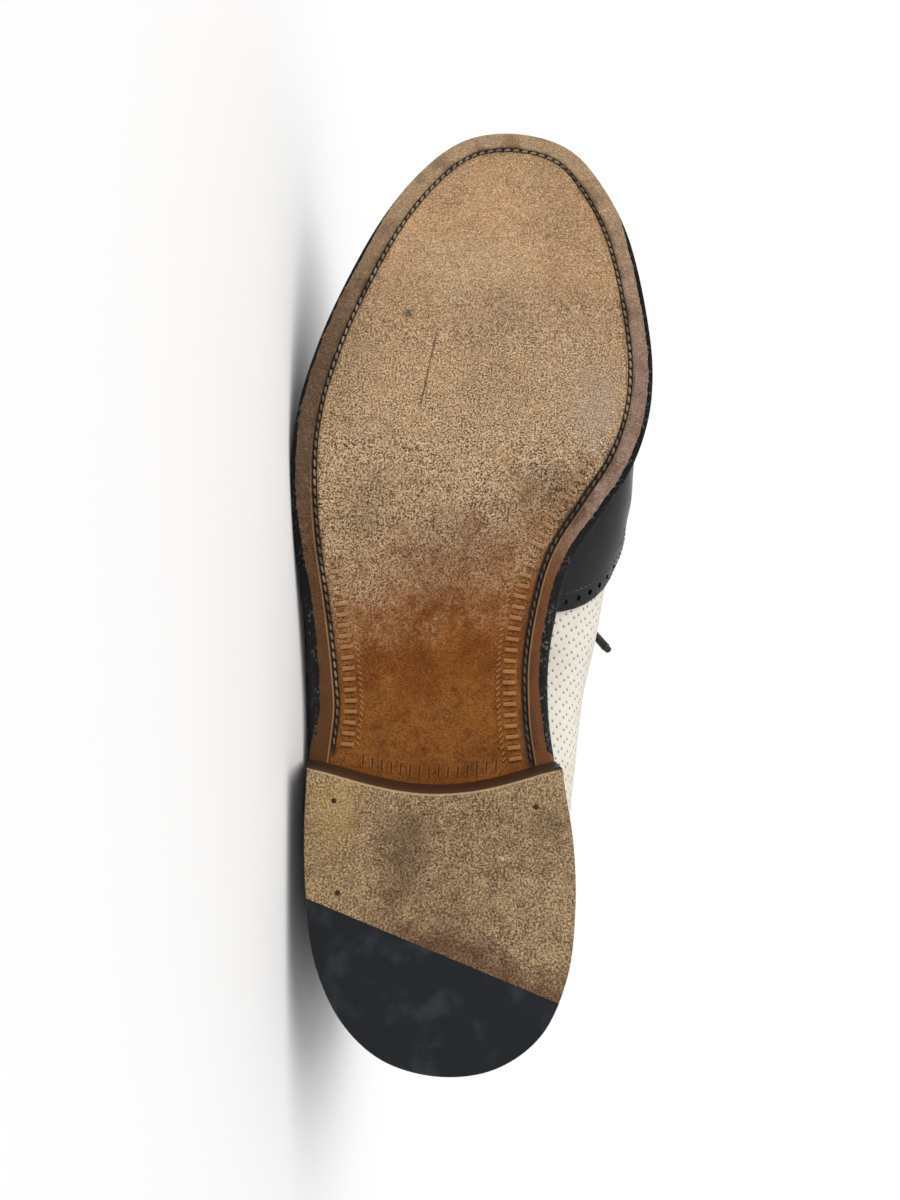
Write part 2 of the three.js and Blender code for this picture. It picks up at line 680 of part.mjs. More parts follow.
// The free lace end runs from the top inner eyelet down the inner side. Its stiff tip is
// straight, so it stands off where the side curves away.
const LACE_END_ROUTE = [
  [118.5, 11.2, 102.4],
  [120.2, 15.4, 100],
  [122.8, 20.3, 95.3],
  [126.4, 25.3, 88.8],
  [130.5, 31.4, 80.8],
  [134.9, 37.6, 71.6],
  [137.8, 41.9, 63.6],
  [132.6, 46.2, 56.8],
  [126.9, 50.2, 50],
];

const COLOURS = {
  soleLeather: 0xa87c52,
  heelEdge: 0x1c1a19,
  topPiece: 0xa98f66,
  rubber: 0x23282d,
  blackLeather: 0x17171a,
  ivoryLeather: 0xe4ddcc,
  insoleLeather: 0xb98f62,
  lace: 0x121214,
};

const shoe = new THREE.Group();

function add(name, geometry, colour, roughness) {
  const material = new THREE.MeshStandardMaterial({ color: COLOURS[colour], roughness, metalness: 0 });
  const mesh = new THREE.Mesh(geometry, material);
  mesh.name = name;
  shoe.add(mesh);
}

const topPiece = topPieceSlice();
add("outsole", geometryOf(outsole()), "soleLeather", 0.6);
add("welt", geometryOf(welt()), "heelEdge", 0.5);
add("heel_stack", geometryOf(heelStack()), "heelEdge", 0.45);
add("top_piece", geometryOf(topPiece.subtract(behindWedgeJoint(FIT_GAP / 2))), "topPiece", 0.8);
add("rubber_wedge", geometryOf(topPiece.intersect(behindWedgeJoint(-FIT_GAP / 2))), "rubber", 0.7);
add("insole", geometryOf(insole()), "insoleLeather", 0.6);
add("upper", geometryOf(upper()), "ivoryLeather", 0.55);
add("wing_cap", geometryOf(wingCap()), "blackLeather", 0.35);
add("heel_counter", geometryOf(heelCounter()), "blackLeather", 0.35);
add("facing_outer", geometryOf(facing(-1)), "blackLeather", 0.35);
add("facing_inner", geometryOf(facing(1)), "blackLeather", 0.35);
add("tongue", geometryOf(tongue()), "blackLeather", 0.5);

const laceBed = surfaceMesh(OVER_TOP + FIT_GAP + LACE_DIAMETER / 2);
for (let k = 0; k < LACE_BARS; k += 1) {
  const along = THROAT_TOP + 0.02 + ((THROAT_END - THROAT_TOP - 0.05) * k) / (LACE_BARS - 1);
  add("lace_bar_" + (k + 1), laceBar(laceBed, along), "lace", 0.6);
}
const laceEnd = LACE_END_ROUTE.map((point) => new THREE.Vector3(...point));
add("lace_end", cord(laceEnd, 2 * (laceEnd.length - 1)), "lace", 0.6);

// The places of a mesh's corners in the shoe's frame.
function cornersOf(mesh) {
  const place = mesh.geometry.getAttribute("position");
  return Array.from({ length: place.count }, (_, i) => new THREE.Vector3().fromBufferAttribute(place, i));
}

// The middle of all the solids, by volume.
function middleOf(meshes) {
  const middle = new THREE.Vector3();
  let volume = 0;
  meshes.forEach((mesh) => {
    const corners = cornersOf(mesh);
    const index = mesh.geometry.index ? mesh.geometry.index.array : corners.map((_, i) => i);
    for (let i = 0; i < index.length; i += 3) {
      const [a, b, c] = [corners[index[i]], corners[index[i + 1]], corners[index[i + 2]]];
      const part = a.dot(b.clone().cross(c)) / 6;
      middle.addScaledVector(a.clone().add(b).add(c), part / 4);
      volume += part;
    }
  });
  return middle.divideScalar(volume);
}

// Outward normal of the hull's face that carries the shoe, sole edge and upper, under its middle.
function restingNormal(corners, middle) {
  const hull = new ConvexHull().setFromPoints(corners);
  const down = new THREE.Ray(middle, new THREE.Vector3());
  const hit = new THREE.Vector3();
  const resting = hull.faces.filter((face) => {
    if (face.normal.y > -0.8 || face.normal.z < 0) return false;
    down.direction.copy(face.normal);
    const [a, b, c] = [face.getEdge(0), face.getEdge(1), face.getEdge(2)].map((half) => half.head().point);
    return down.intersectTriangle(a, b, c, false, hit) !== null;
  });
  return resting[0].normal.clone();
}

const solids = shoe.children.filter((mesh) => mesh.name !== "lace_end");
const corners = solids.flatMap(cornersOf);
const down = restingNormal(corners, middleOf(solids));

// Laid down: its outer side rests on the floor, the sole faces -Y and the toe points to -X.
const up = down.clone().negate();
const heelwards = new THREE.Vector3(-1, 0, 0).addScaledVector(up, up.x).normalize();
const away = up.clone().cross(heelwards);
shoe.matrixAutoUpdate = false;
shoe.matrix.makeBasis(heelwards, away, up).transpose();
const laid = new THREE.Box3().setFromPoints(corners.map((corner) => corner.clone().applyMatrix4(shoe.matrix)));
const centre = laid.getCenter(new THREE.Vector3());
shoe.matrix.setPosition(-centre.x, -centre.y, -laid.min.z);

const root = new THREE.Group();
root.add(shoe);

export default root;
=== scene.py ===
import json
import math

import bmesh
import bpy
from mathutils import Matrix, Vector


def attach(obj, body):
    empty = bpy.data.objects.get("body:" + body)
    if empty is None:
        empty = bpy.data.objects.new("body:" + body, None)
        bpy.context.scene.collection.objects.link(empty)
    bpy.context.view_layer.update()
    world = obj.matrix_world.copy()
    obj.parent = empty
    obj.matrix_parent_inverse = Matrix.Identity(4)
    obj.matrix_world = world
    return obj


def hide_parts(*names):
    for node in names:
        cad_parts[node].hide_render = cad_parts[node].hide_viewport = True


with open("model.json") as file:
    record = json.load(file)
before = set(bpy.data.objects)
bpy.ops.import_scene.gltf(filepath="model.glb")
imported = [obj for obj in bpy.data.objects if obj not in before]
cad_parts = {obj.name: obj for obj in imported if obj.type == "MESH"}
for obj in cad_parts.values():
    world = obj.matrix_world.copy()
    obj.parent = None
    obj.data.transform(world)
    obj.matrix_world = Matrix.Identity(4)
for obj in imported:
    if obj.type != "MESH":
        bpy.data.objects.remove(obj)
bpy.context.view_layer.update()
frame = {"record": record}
bpy.ops.object.select_all(action="DESELECT")

# The laid frame. The shoe rests on its outer side, and its two treads, which lie on one plane when
# it stands, say where its own axes point.
HEEL_MOUNT_ALONG = 0.055
mounts = {mount["name"]: mount for mount in frame["record"]["mounts"]}
heel_tread = Vector(mounts["heel_tread"]["pos_m"])
forefoot_tread = Vector(mounts["forefoot_tread"]["pos_m"])
upwards = -Vector(mounts["heel_tread"]["axis"]).normalized()
toewards = (forefoot_tread - heel_tread).normalized()
inwards = upwards.cross(toewards)
LAID = Matrix((toewards, inwards, upwards)).transposed().to_4x4()
LAID.translation = heel_tread - toewards * HEEL_MOUNT_ALONG
STANDING = LAID.inverted()

# The camera stands under the sole, a hand's breadth over the floor, turned a little with the
# photograph's own tilt and roll.
FOCAL_LENGTH_MM = 27
SENSOR_MM = 36
AIM = Vector((0.13037, -0.0064, 0))
AIM_DISTANCE = 0.26748
VIEW_TILT = math.radians(12)
VIEW_ROLL = math.radians(3.83)


def camera_matrix():
    forwards = Vector((math.sin(VIEW_TILT), 0, math.cos(VIEW_TILT)))
    ahead = Vector((math.cos(VIEW_TILT), 0, -math.sin(VIEW_TILT)))
    across = Vector((0, 1, 0))
    right = math.cos(VIEW_ROLL) * across + math.sin(VIEW_ROLL) * ahead
    top = math.cos(VIEW_ROLL) * ahead - math.sin(VIEW_ROLL) * across
    turned = Matrix((right, top, -forwards)).transposed().to_4x4()
    turned.translation = AIM - AIM_DISTANCE * forwards
    return LAID @ turned


bpy.ops.object.camera_add()
camera = bpy.context.object
camera.name = "camera"
camera.data.lens = FOCAL_LENGTH_MM
camera.data.sensor_width = SENSOR_MM
camera.data.clip_start = 0.01
camera.matrix_world = camera_matrix()
bpy.context.scene.camera = camera

# The free lace end. A round braided cotton lace, 2.4 mm thick, comes out of the top inner eyelet,
# hangs down the inner side and ends in a stiff dipped tip.
LACE_DIAMETER = 0.0024
LACE_SIDES = 14
LACE_END_ROUTE = [
    (0.1185, 0.0112, 0.1024),
    (0.1202, 0.0154, 0.1),
    (0.1228, 0.0203, 0.0953),
    (0.1264, 0.0253, 0.0888),
    (0.1305, 0.0314, 0.0808),
    (0.1349, 0.0376, 0.0716),
    (0.1371, 0.0409, 0.0656),
    (0.1353, 0.0445, 0.0593),
    (0.1269, 0.0502, 0.05),
]


def spline_point(points, place, closed=False):
    """A point of the centripetal Catmull-Rom curve through points, at a place counted in points."""
    count = len(points)
    first = min(int(place), count - (1 if closed else 2))
    t = place - first
    if closed:
        near = [points[(first + k) % count] for k in (-1, 0, 1, 2)]
    else:
        before = points[first - 1] if first > 0 else 2 * points[0] - points[1]
        after = points[first + 2] if first + 2 < count else 2 * points[-1] - points[-2]
        near = [before, points[first], points[first + 1], after]
    gaps = [max((near[k + 1] - near[k]).length_squared ** 0.25, 1e-9) for k in range(3)]
    start = (near[1] - near[0]) / gaps[0] - (near[2] - near[0]) / (gaps[0] + gaps[1])
    start = (start + (near[2] - near[1]) / gaps[1]) * gaps[1]
    end = (near[2] - near[1]) / gaps[1] - (near[3] - near[1]) / (gaps[1] + gaps[2])
    end = (end + (near[3] - near[2]) / gaps[2]) * gaps[1]
    square = 3 * (near[2] - near[1]) - 2 * start - end
    cube = 2 * (near[1] - near[2]) + start + end
    return near[1] + start * t + square * t * t + cube * t ** 3


def smooth_route(points, steps):
    """The curve through loose points, with steps stretches between each two."""
    points = [Vector(point) for point in points]
    return [spline_point(points, k / steps) for k in range(steps * (len(points) - 1) + 1)]


def select_only(made):
    bpy.ops.object.select_all(action="DESELECT")
    bpy.context.view_layer.objects.active = made
    made.select_set(True)


def new_object(name, mesh):
    """A mesh made in the shoe's frame becomes an object on the floor, alone selected."""
    mesh.name = name
    mesh.transform(LAID)
    made = bpy.data.objects.new(name, mesh)
    bpy.context.scene.collection.objects.link(made)
    select_only(made)
    return made


def mesh_from(bm):
    mesh = bpy.data.meshes.new("made")
    bm.to_mesh(mesh)
    bm.free()
    return mesh


def ring_faces(bm, low, high):
    """Smooth faces between two closed rings of the same count."""
    faces = []
    for i, corner in enumerate(low):
        n = (i + 1) % len(low)
        faces.append(bm.faces.new((corner, low[n], high[n], high[i])))
        faces[-1].smooth = True
    return faces


def tube_mesh(route, radius, sides):
    """A round tube along a route, with its own UV map in metres: round it, then along it."""
    last = len(route) - 1
    radii = radius if callable(radius) else (lambda share: radius)
    bm = bmesh.new()
    uv = bm.loops.layers.uv.new("cord")
    side = None
    rings = []
    travelled = [0.0]
    for k, at in enumerate(route):
        tangent = (route[min(k + 1, last)] - route[max(k - 1, 0)]).normalized()
        side = side or tangent.orthogonal().normalized()
        side = (side - side.dot(tangent) * tangent).normalized()
        other = tangent.cross(side)
        size = radii(k / last)
        turns = [2 * math.pi * s / sides for s in range(sides)]
        spokes = [math.cos(turn) * side + math.sin(turn) * other for turn in turns]
        rings.append([bm.verts.new(at + size * spoke) for spoke in spokes])
        if k < last:
            travelled.append(travelled[-1] + (route[k + 1] - at).length)
    for k in range(last):
        for s, face in enumerate(ring_faces(bm, rings[k], rings[k + 1])):
            corners = [(s, k), (s + 1, k), (s + 1, k + 1), (s, k + 1)]
            for loop, (around, along) in zip(face.loops, corners):
                loop[uv].uv = (2 * math.pi * radii(0.5) * around / sides, travelled[along])
    bm.faces.new(rings[0][::-1])
    bm.faces.new(rings[-1])
    return mesh_from(bm)


class Field:
    """A value or colour over a surface, as a node gives it. Its sums and products are Math nodes."""

    def __init__(self, socket):
        self.socket = socket
        self.tree = socket.id_data

    def __add__(self, other):
        return maths("ADD", self, other)

    def __sub__(self, other):
        return maths("SUBTRACT", self, other)

    def __mul__(self, other):
        return maths("MULTIPLY", self, other)

    def __truediv__(self, other):
        return maths("DIVIDE", self, other)

    def __rtruediv__(self, other):
        return maths("DIVIDE", other, self)

    def __abs__(self):
        return maths("ABSOLUTE", self)


def feed_socket(socket, value):
    """Links a Field into a socket, or sets the socket to a plain value."""
    if isinstance(value, Field):
        value.tree.links.new(value.socket, socket)
    else:
        socket.default_value = value


def put(tree, kind, inputs=(), **settings):
    """A node with its settings and what feeds its inputs."""
    node = tree.nodes.new("ShaderNode" + kind)
    for name, value in settings.items():
        setattr(node, name, value)
    for key, value in dict(inputs).items():
        feed_socket(node.inputs[key], value)
    return node


def field(tree, kind, inputs=(), output=0, **settings):
    return Field(put(tree, kind, inputs, **settings).outputs[output])


def maths(operation, *values):
    tree = next(value.tree for value in values if isinstance(value, Field))
    return field(tree, "Math", enumerate(values), operation=operation)


def ramped(value, low, high, to_low=0.0, to_high=1.0):
    """A value mapped smoothly from one range to another."""
    sockets = {0: value, 1: low, 2: high, 3: to_low, 4: to_high}
    return field(value.tree, "MapRange", sockets, interpolation_type="SMOOTHSTEP")


def mixed(share, first, second):
    """Two colours mixed by a share."""
    sockets = {0: share, 6: first, 7: second}
    return field(share.tree, "Mix", sockets, 2, data_type="RGBA", clamp_factor=True)


def grains(where, size, detail=2.0, roughness=0.5, distortion=0.0):
    """Noise whose spots are about size metres wide."""
    sockets = {"Vector": where, "Scale": 1 / size, "Detail": detail, "Roughness": roughness}
    sockets["Distortion"] = distortion
    return field(where.tree, "TexNoise", sockets, "Fac")


def parted(vector):
    """The three parts of a vector."""
    return [Field(socket) for socket in put(vector.tree, "SeparateXYZ", {0: vector}).outputs]


def bumped(height, distance, strength):
    return field(height.tree, "Bump", {"Height": height, "Distance": distance, "Strength": strength})


def shoe_place(tree):
    """The place on the shoe, in its own frame."""
    place = field(tree, "TexCoord", output="Object")
    sockets = {"Vector": place, "Location": STANDING.translation, "Rotation": STANDING.to_euler()}
    return field(tree, "Mapping", sockets)


def paint(red, green, blue):
    """A colour as screens give it, from 0 to 255, as the shader takes it."""
    straight = [((value / 255 + 0.055) / 1.055) ** 2.4 for value in (red, green, blue)]
    return (*straight, 1.0)


def new_material(name):
    """A material and its node tree and shader."""
    material = bpy.data.materials.new(name)
    material.use_nodes = True
    tree = material.node_tree
    return material, tree, tree.nodes["Principled BSDF"]


def feed(node, **sockets):
    """Feeds a node's sockets, named with underlines for spaces."""
    for name, value in sockets.items():
        feed_socket(node.inputs[name.replace("_", " ")], value)


def plain_material(name, **sockets):
    material, tree, shader = new_material(name)
    feed(shader, **sockets)
    return material


BRAID_PITCH = 0.0009


def braided_cotton():
    material, tree, shader = new_material("braided black cotton")
    around, along = parted(field(tree, "UVMap", uv_map="cord"))[:2]
    around = around * (4 / LACE_DIAMETER)
    along = along * (2 * math.pi / BRAID_PITCH)
    weave = maths("MAXIMUM", maths("SINE", around + along), maths("SINE", around - along))
    # The strands are painted lighter on their crests and darker in the grooves between them: painted
    # highlight and painted shade over the braid's bump.
    colour = mixed(ramped(weave, -0.4, 1), paint(7, 7, 8), paint(34, 34, 37))
    feed(shader, Base_Color=colour, Normal=bumped(weave, 0.00018, 0.8), Roughness=0.75, Sheen_Weight=0.25)
    return material


LACE_COTTON = braided_cotton()


def finish_piece(made, material, slot, *nodes):
    """Gives a finished piece its material, its body and the solids that it stands for. Its slot is not used.
    """
    if not made.data.materials:
        made.data.materials.append(material)
    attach(made, "root")
    if nodes:
        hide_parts(*nodes)
    return made


def piece(name, mesh, material, slot, *nodes):
    return finish_piece(new_object(name, mesh), material, slot, *nodes)


lace_route = smooth_route(LACE_END_ROUTE, 8)
lace_tube = tube_mesh(lace_route, LACE_DIAMETER / 2, LACE_SIDES)
lace_end = piece("free_lace_end", lace_tube, LACE_COTTON, "lace_cotton", "lace_end")

# The lace's tip. Its last part is dipped in black lacquer, smooth and a little thicker.
TIP_SHARE = 0.15
TIP_RADIUS = 0.0015


BLACK_LACQUER = plain_material("black lacquer", Base_Color=paint(12, 12, 13), Roughness=0.28)


def tip_radius(share):
    return TIP_RADIUS * (1 - 0.75 * max(0, (share - 0.9) / 0.1) ** 2)


tip_route = lace_route[-int(TIP_SHARE * len(lace_route)):]
tip_tube = tube_mesh(tip_route, tip_radius, LACE_SIDES)
lace_tip = piece("lacquered_lace_tip", tip_tube, BLACK_LACQUER, "lace_cotton")
laid_route = [LAID @ point for point in lace_route]
lace_length = sum((b - a).length for a, b in zip(laid_route, laid_route[1:]))

# The studio: a plain pale floor, an even white surround and one broad soft light.
SURROUND_STRENGTH = 0.72
SEEN_STRENGTH = 1.0
KEY_STRENGTH = 1.3
KEY_DIRECTION = (0.35, 0.5, -0.8)
bpy.ops.mesh.primitive_plane_add(size=12, location=(0, 0, 0))
floor = bpy.context.object
floor.name = "floor"
looks = {"Base_Color": paint(252, 252, 252), "Roughness": 0.85, "Specular_IOR_Level": 0.2}
floor.data.materials.append(plain_material("pale floor", **looks))

world = bpy.data.worlds.new("studio")
world.use_nodes = True
surround = world.node_tree.nodes["Background"]
seen = field(world.node_tree, "LightPath", output="Is Camera Ray")
strength = ramped(seen, 0.0, 1.0, SURROUND_STRENGTH, SEEN_STRENGTH)
feed(surround, Color=(1, 1, 1, 1), Strength=strength)
bpy.context.scene.world = world
bpy.context.scene.view_settings.view_transform = "Standard"

bpy.ops.object.light_add(type="SUN", location=(-0.8, -0.9, 1.4))
key_light = bpy.context.object
key_light.name = "soft_key_light"
key_light.data.energy = KEY_STRENGTH
key_light.data.angle = math.radians(50)
key_light.rotation_mode = "QUATERNION"
key_light.rotation_quaternion = Vector(KEY_DIRECTION).to_track_quat("-Z", "Y")

# The outsole. One thick piece of oak-bark leather, cut to the last's outline, bevelled along its
# bottom edge, channelled for the stitches, its grain face scoured by wear in the forepart and
# still russet and polished in the waist.
SOLE_LENGTH = 0.3
BALL_WIDTH = 0.112
HEEL_HEIGHT = 0.022
SEAT_PITCH = 0.002
TOE_SPRING = 0.01
OUTSOLE_THICKNESS = 0.005
WELT_THICKNESS = 0.0026
EDGE_BEVEL = 0.0014
WAIST_BEVEL = 0.0028
FIT_GAP = 0.0003
BREAST = 0.28
BALL_START = 0.61
BALL_END = 0.7


def table(names, *rows):
    """Rows of values as dictionaries under the names."""
    return [dict(zip(names.split(), row)) for row in rows]


OUTLINE = table(
    "along outer inner",
    (0.01, 0.145, 0.131),
    (0.04, 0.252, 0.234),
    (0.09, 0.33, 0.291),
    (0.15, 0.367, 0.305),
    (0.207, 0.385, 0.295),
    (0.267, 0.394, 0.264),
    (0.317, 0.412, 0.246),
    (0.38, 0.438, 0.23),
    (0.437, 0.467, 0.241),
    (0.487, 0.495, 0.27),
    (0.537, 0.513, 0.344),
    (0.587, 0.521, 0.419),
    (0.64, 0.513, 0.462),
    (0.69, 0.488, 0.473),
    (0.755, 0.44, 0.457),
    (0.865, 0.333, 0.396),
    (0.93, 0.239, 0.321),
    (0.973, 0.146, 0.242),
    (0.992, 0.066, 0.164),
)
TOE_TIP_SHIFT = 0.045
OUTLINE_STEPS = 8

EDGES = table(
    "along seat_outer seat_inner welt_outer feather_outer feather_inner",
    (0, 0.013, 0.009, 0.013, 0.018, 0.018),
    (0.15, 0.02, 0.011, 0.02, 0.018, 0.018),
    (0.26, 0.028, 0.013, 0.028, 0.014, 0.014),
    (0.33, 0, 0, 0.025, 0.031, 0.021),
    (0.44, 0, 0, 0.004, 0.05, 0.022),
    (0.52, 0, 0, -0.004, 0.058, 0.027),
    (0.6, 0, 0, -0.004, 0.058, 0.041),
    (0.68, 0, 0, -0.004, 0.057, 0.05),
    (1, 0, 0, -0.004, 0.054, 0.054),
)


def column_at(table, column, along):
    """A column of a table at a share along the sole, on a smooth curve through its rows."""
    last = len(table) - 1
    if along <= table[0]["along"]:
        return table[0][column]
    if along >= table[last]["along"]:
        return table[last][column]
    row = 0
    while table[row + 1]["along"] < along:
        row += 1

    def slope_at(index):
        before = table[max(index - 1, 0)]
        after = table[min(index + 1, last)]
        return (after[column] - before[column]) / (after["along"] - before["along"])

    run = table[row + 1]["along"] - table[row]["along"]
    t = (along - table[row]["along"]) / run
    start = table[row][column] * (1 + 2 * t) * (1 - t) ** 2 + slope_at(row) * run * t * (1 - t) ** 2
    end = table[row + 1][column] * t * t * (3 - 2 * t) + slope_at(row + 1) * run * t * t * (t - 1)
    return start + end


def ease(t):
    return t * t * (3 - 2 * t)


def underside(along):
    """Height of the sole's underside over the tread plane, with the seat over the heel."""
    if along < BREAST:
        return HEEL_HEIGHT + SEAT_PITCH * (1 - max(along, 0) / BREAST)
    if along < BALL_START:
        return HEEL_HEIGHT * (1 - ease((along - BREAST) / (BALL_START - BREAST)))
    if along < BALL_END:
        return 0
    return TOE_SPRING * ((along - BALL_END) / (1 - BALL_END)) ** 1.7


def welt_top(along):
    return underside(along) + OUTSOLE_THICKNESS + FIT_GAP + WELT_THICKNESS


def feather_height(along):
    return welt_top(along) + FIT_GAP


class OutlinePoint:
    """A point of the sole's outline: its place, outward normal, side, and share along the sole."""

    def __init__(self, at, normal, side):
        self.at = at
        self.normal = normal
        self.side = side
        self.along = 0.0


def outline_points():
    """Points round the sole from the back of the heel along the outer side to the toe and back."""
    places = [(0, 0)]
    places += [(row["along"], -row["outer"]) for row in OUTLINE]
    places += [(1, TOE_TIP_SHIFT)]
    places += [(row["along"], row["inner"]) for row in reversed(OUTLINE)]
    controls = [Vector((along * SOLE_LENGTH, side * BALL_WIDTH, 0)) for along, side in places]
    count = len(controls) * OUTLINE_STEPS
    nudge = 0.001
    points = []
    for i in range(count):
        place = i / OUTLINE_STEPS
        after = spline_point(controls, place + nudge, closed=True)
        before = spline_point(controls, (place - nudge) % len(controls), closed=True)
        tangent = after - before
        normal = Vector((tangent.y, -tangent.x, 0)).normalized()
        side = -1 if i <= count / 2 else 1
        points.append(OutlinePoint(spline_point(controls, place, closed=True), normal, side))
    for i, point in enumerate(points):
        partner = points[-i % count]
        point.along = (point.at.x + partner.at.x) / 2 / SOLE_LENGTH
    return points


AROUND = outline_points()
COUNT = len(AROUND)
HALF = COUNT // 2


def side_column(table, name, point):
    return column_at(table, name + ("_outer" if point.side < 0 else "_inner"), point.along) * BALL_WIDTH


def seat_grow(point):
    return max(side_column(EDGES, "seat", point), 0)


def welt_grow(point):
    if point.side > 0:
        return seat_grow(point)
    return column_at(EDGES, "welt_outer", point.along) * BALL_WIDTH


def feather_grow(point):
    return -side_column(EDGES, "feather", point)


def less(grow, amount):
    return lambda point: grow(point) - amount


def ring(grow, high):
    """The outline moved out by grow(point), at the height high(along)."""
    made = []
    for point in AROUND:
        at = point.at + grow(point) * point.normal
        at.z = high(point.along)
        made.append(at)
    return made


def bevel_at(point):
    waist = max(0, 1 - abs(point.along - 0.42) / 0.16)
    return EDGE_BEVEL + (WAIST_BEVEL - EDGE_BEVEL) * ease(waist)


def ring_mesh(rings, across=1, attributes=None):
    """A closed body of rings of the same count, lowest first, closed by strips from side to side.
    attributes names layers and gives a value for each ring and point of it."""
    attributes = attributes or {}
    bm = bmesh.new()
    layers = {key: bm.verts.layers.float.new(key) for key in attributes}
    grid = []
    for r, points in enumerate(rings):
        row = [bm.verts.new(point) for point in points]
        for key, value in attributes.items():
            for i, vert in enumerate(row):
                vert[layers[key]] = value(r, i)
        grid.append(row)
    for low, high in zip(grid, grid[1:]):
        ring_faces(bm, low, high)

    def crossing_line(start, end):
        line = [start]
        for k in range(1, across):
            vert = bm.verts.new(start.co.lerp(end.co, k / across))
            for key, layer in layers.items():
                inwards = min(k, across - k) / across * (end.co - start.co).length
                vert[layer] = start[layer] + (inwards if key == "inset" else 0)
            line.append(vert)
        return line + [end]

    for row, facing_up in ((grid[0], False), (grid[-1], True)):
        ends = [(row[i], row[-i % COUNT]) for i in range(HALF + 1)]
        lines = [[start] if start is end else crossing_line(start, end) for start, end in ends]
        for one, two in zip(lines, lines[1:]):
            for k in range(across):
                corners = [one[k + 1], one[k]] if len(one) > 1 else one
                corners = corners + ([two[k], two[k + 1]] if len(two) > 1 else two)
                bm.faces.new(corners[::-1] if facing_up else corners)
    for face in bm.faces:
        face.smooth = True
    bmesh.ops.recalc_face_normals(bm, faces=bm.faces)
    return mesh_from(bm)


INK_START = 0.295
HEEL_INK = 0.0015
BREAST_INNER_END = 0.262
INK_EXTRA_INNER = 0.0005
TOE_WEAR_START = 0.84
TOE_WEAR_END = 0.93


def ink_width(point):
    """How far in from the edge the ink reaches."""
    if point.along < INK_START:
        return HEEL_INK if point.along < BREAST_INNER_END else 0.0
    worn = ease(min(max((point.along - TOE_WEAR_START) / (TOE_WEAR_END - TOE_WEAR_START), 0), 1))
    extra = INK_EXTRA_INNER if point.side > 0 else 0
    return (bevel_at(point) + extra) * (1 - worn) - 0.0004 * worn


CHANNEL_INSET = 0.0074
CHANNEL_WIDTH = 0.0014
CHANNEL_DEPTH = 0.0007
CHANNEL_START = 0.273
CHANNEL_FULL = 0.286


def channel_depth(along):
    """The channel fades out in front of the heel."""
    return CHANNEL_DEPTH * ease(min(max((along - CHANNEL_START) / (CHANNEL_FULL - CHANNEL_START), 0), 1))


# Each step in from the edge: how far in it lies, and the share of the channel's depth there.
SOLE_STEPS = [
    (0.0112, 0),
    (CHANNEL_INSET + 0.0016, 0),
    (CHANNEL_INSET + 0.5 * CHANNEL_WIDTH + 0.00015, 0),
    (CHANNEL_INSET + 0.5 * CHANNEL_WIDTH, 0.25),
    (CHANNEL_INSET + 0.3 * CHANNEL_WIDTH, 0.9),
    (CHANNEL_INSET - 0.3 * CHANNEL_WIDTH, 0.9),
    (CHANNEL_INSET - 0.5 * CHANNEL_WIDTH, 0.25),
    (CHANNEL_INSET - 0.5 * CHANNEL_WIDTH - 0.00015, -0.12),
    (CHANNEL_INSET - 0.0017, -0.05),
    (CHANNEL_INSET - 0.0034, 0),
]
# The bevelled edge in steps: the share of the bevel that is left, and of its height reached.
BEVEL_STEPS = [(1, 0), (0.72, 0.06), (0.42, 0.25), (0.16, 0.58), (0, 1)]
BEVEL_RISE = 0.36 * OUTSOLE_THICKNESS


def raised_ring(grow, height):
    """The outline moved out by grow(point), at height(point) over the sole's underside."""
    points = []
    for point in AROUND:
        at = point.at + (seat_grow(point) + grow(point)) * point.normal
        at.z = underside(point.along) + height(point)
        points.append(at)
    return points


def outsole_mesh():
    rings = []
    insets = []
    for inset, share in SOLE_STEPS:
        rings.append(raised_ring(lambda point: -inset, lambda point: share * channel_depth(point.along)))
        insets.append([inset] * COUNT)
    for left, risen in BEVEL_STEPS:
        rings.append(raised_ring(lambda point: -left * bevel_at(point), lambda point: risen * BEVEL_RISE))
        insets.append([left * bevel_at(point) for point in AROUND])
    for high, grow in ((0.7, 0), (0.94, 0), (1.0, -0.0002)):
        rings.append(raised_ring(lambda point: grow, lambda point: high * OUTSOLE_THICKNESS))
        insets.append([-high * OUTSOLE_THICKNESS] * COUNT)
    attributes = {
        "inset": lambda r, i: insets[r][i],
        "ink": lambda r, i: insets[r][i] - ink_width(AROUND[i]),
    }
    return ring_mesh(rings, 14, attributes)


def shader_group(name, inputs, outputs):
    """A node group with named inputs and outputs; gives it, its inputs and its end node."""
    group = bpy.data.node_groups.new(name, "ShaderNodeTree")
    for socket, kind in inputs.items():
        group.interface.new_socket(name=socket, in_out="INPUT", socket_type="NodeSocket" + kind)
    for socket in outputs:
        group.interface.new_socket(name=socket, in_out="OUTPUT", socket_type="NodeSocketFloat")
    given = group.nodes.new("NodeGroupInput")
    return group, [Field(given.outputs[socket]) for socket in inputs], group.nodes.new("NodeGroupOutput")


def placed(group, Place, **sockets):
    """What a group gives in the material that its Place comes from."""
    node = Place.tree.nodes.new("ShaderNodeGroup")
    node.node_tree = group
    feed(node, Place=Place, **sockets)
    return [Field(socket) for socket in node.outputs]


def vector_maths(operation, one, two, output=0):
    return field(one.tree, "VectorMath", {0: one, 1: two}, output, operation=operation)


